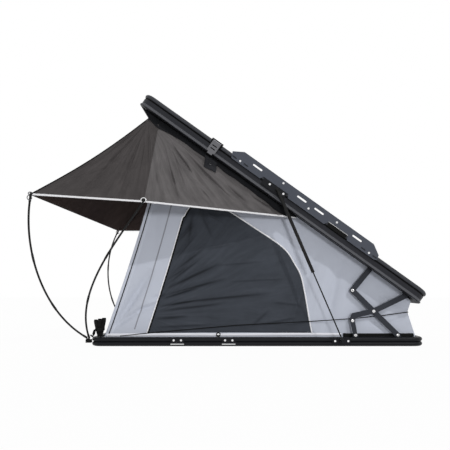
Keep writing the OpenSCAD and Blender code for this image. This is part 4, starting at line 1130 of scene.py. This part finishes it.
# The pad's side from its underside up to its top edge: share of its reach and of its height.
PAD_SIDE = [(0.02, 0.0), (0.90, 0.0), (0.975, 0.02), (0.993, 0.12), (1.0, 0.40), (0.996, 0.66), (0.985, 0.80),
            (0.97, 0.87), (0.94, 0.92)]
PAD_TOP, PAD_CROWN = 0.93, 0.07
CHANNEL_EVERY, CHANNEL_DEEP, CHANNEL_WIDE = 0.16, 0.10, 0.12
COVER_GREY = (0.10, 0.105, 0.12)
turn = np.linspace(0, 2 * np.pi, 360, endpoint=False)
circle = np.stack([np.cos(turn), np.sin(turn)], 1)
square = np.sign(circle) * np.abs(circle) ** PAD_CORNER
pull = 1 - PAD_PULL * np.abs(np.sin(2 * turn)[:, None]) ** 0.5 * np.array([0.6, 1.0])
outline = square * pull
profile = np.array(PAD_SIDE + [(reach, PAD_TOP) for reach in np.linspace(0.90, 0.02, 60)])
rim, rise = profile.T
on_top = np.arange(len(rim)) >= len(PAD_SIDE)
xy = rim[:, None, None] * outline * PAD_HALF
crown = np.where(on_top, PAD_CROWN * np.cos(np.clip(rim, 0, 1) * np.pi / 2), 0)[:, None]
spacing = xy[..., 0] / CHANNEL_EVERY
deep = np.where(on_top, CHANNEL_DEEP, 0) * np.clip((0.92 - rim) / 0.1, 0, 1)
channel = deep[:, None] * np.exp(-((spacing - np.round(spacing)) / CHANNEL_WIDE) ** 2)
z = PAD_Z[0] + (PAD_Z[1] - PAD_Z[0]) * (rise[:, None] + crown - channel)
points = np.concatenate([xy, z[..., None]], -1)
cover = woven("mattress_cover", COVER_GREY, pitch=0.0016, mottle=0.12)
made = piece("mattress_pad", points[:, ::-1], cover, uv=points[:, ::-1, :2], wrap=True, caps=(1, 1))
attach(made, "base")
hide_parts("mattress")

# Lid lining.
# A thin quilted liner on the underside of the lid panel, stitched in diamonds.
# Its padding is flattened along the stitches and at its hemmed edge.
LINING_N, LINING_THICK, LINING_GAP = 0.0600, 0.0055, 0.0003
LINING_U, LINING_HALF = (0.221, 2.105), 0.614
DIAMOND, LINING_HEM = 0.11, 0.02
LINING_GREY = (0.30, 0.30, 0.32)
lining_u, lining_y = np.meshgrid(np.linspace(*LINING_U, 240), np.linspace(-LINING_HALF, LINING_HALF, 120),
                                 indexing="ij")
rows = np.sin(np.pi * (lining_u + lining_y) / DIAMOND) * np.sin(np.pi * (lining_u - lining_y) / DIAMOND)
diamond = np.abs(rows) ** 0.5
inset = np.minimum.reduce([lining_u - LINING_U[0], LINING_U[1] - lining_u, LINING_HALF - np.abs(lining_y)])
edge_fade = np.clip(inset / LINING_HEM, 0, 1)
puff = LINING_N - LINING_GAP - LINING_THICK * edge_fade * (0.35 + 0.6 * diamond)
lining_cloth = woven("lining_cloth", LINING_GREY, pitch=0.0016, mottle=0.08)
made = piece("lid_lining_quilt", lid_place(lining_u, puff, lining_y), lining_cloth)
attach(made, "lid")
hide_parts("lid_lining")

# Pivot bolts.
# Polished steel button heads with a round socket close the pivots of the hinge bars.
# Each rides on the bar or foot that its bolt is fixed in.
BUTTON = [(0.0118, 0.0), (0.0118, 0.0015), (0.0104, 0.0040), (0.0076, 0.0052), (0.0034, 0.0054),
          (0.0032, 0.0030), (0.0006, 0.0028)]
# The x and z of each pivot on a body, and how far out its head sits.
BAR_PIVOTS = {"long_arms": [((0.648, 0.375), 0.6446), ((0.7911, 0.2335), 0.6520), ((0.9565, 0.070), 0.6450)],
              "lower_links": [((0.6465, 0.1695), 0.6570)], "base": [((0.6655, 0.070), 0.6655)]}
for side, name in SIDE_NAMES.items():
    for body, pivots in BAR_PIVOTS.items():
        for number, ((x, z), y) in enumerate(pivots, 1):
            points = turned(BUTTON, (x, side * y, z), (0, side, 0))
            made = piece(f"pivot_{body}_{number}_{name}", points, polished, wrap=True, caps=(1, 1))
            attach(made, body)

bpy.context.view_layer.update()
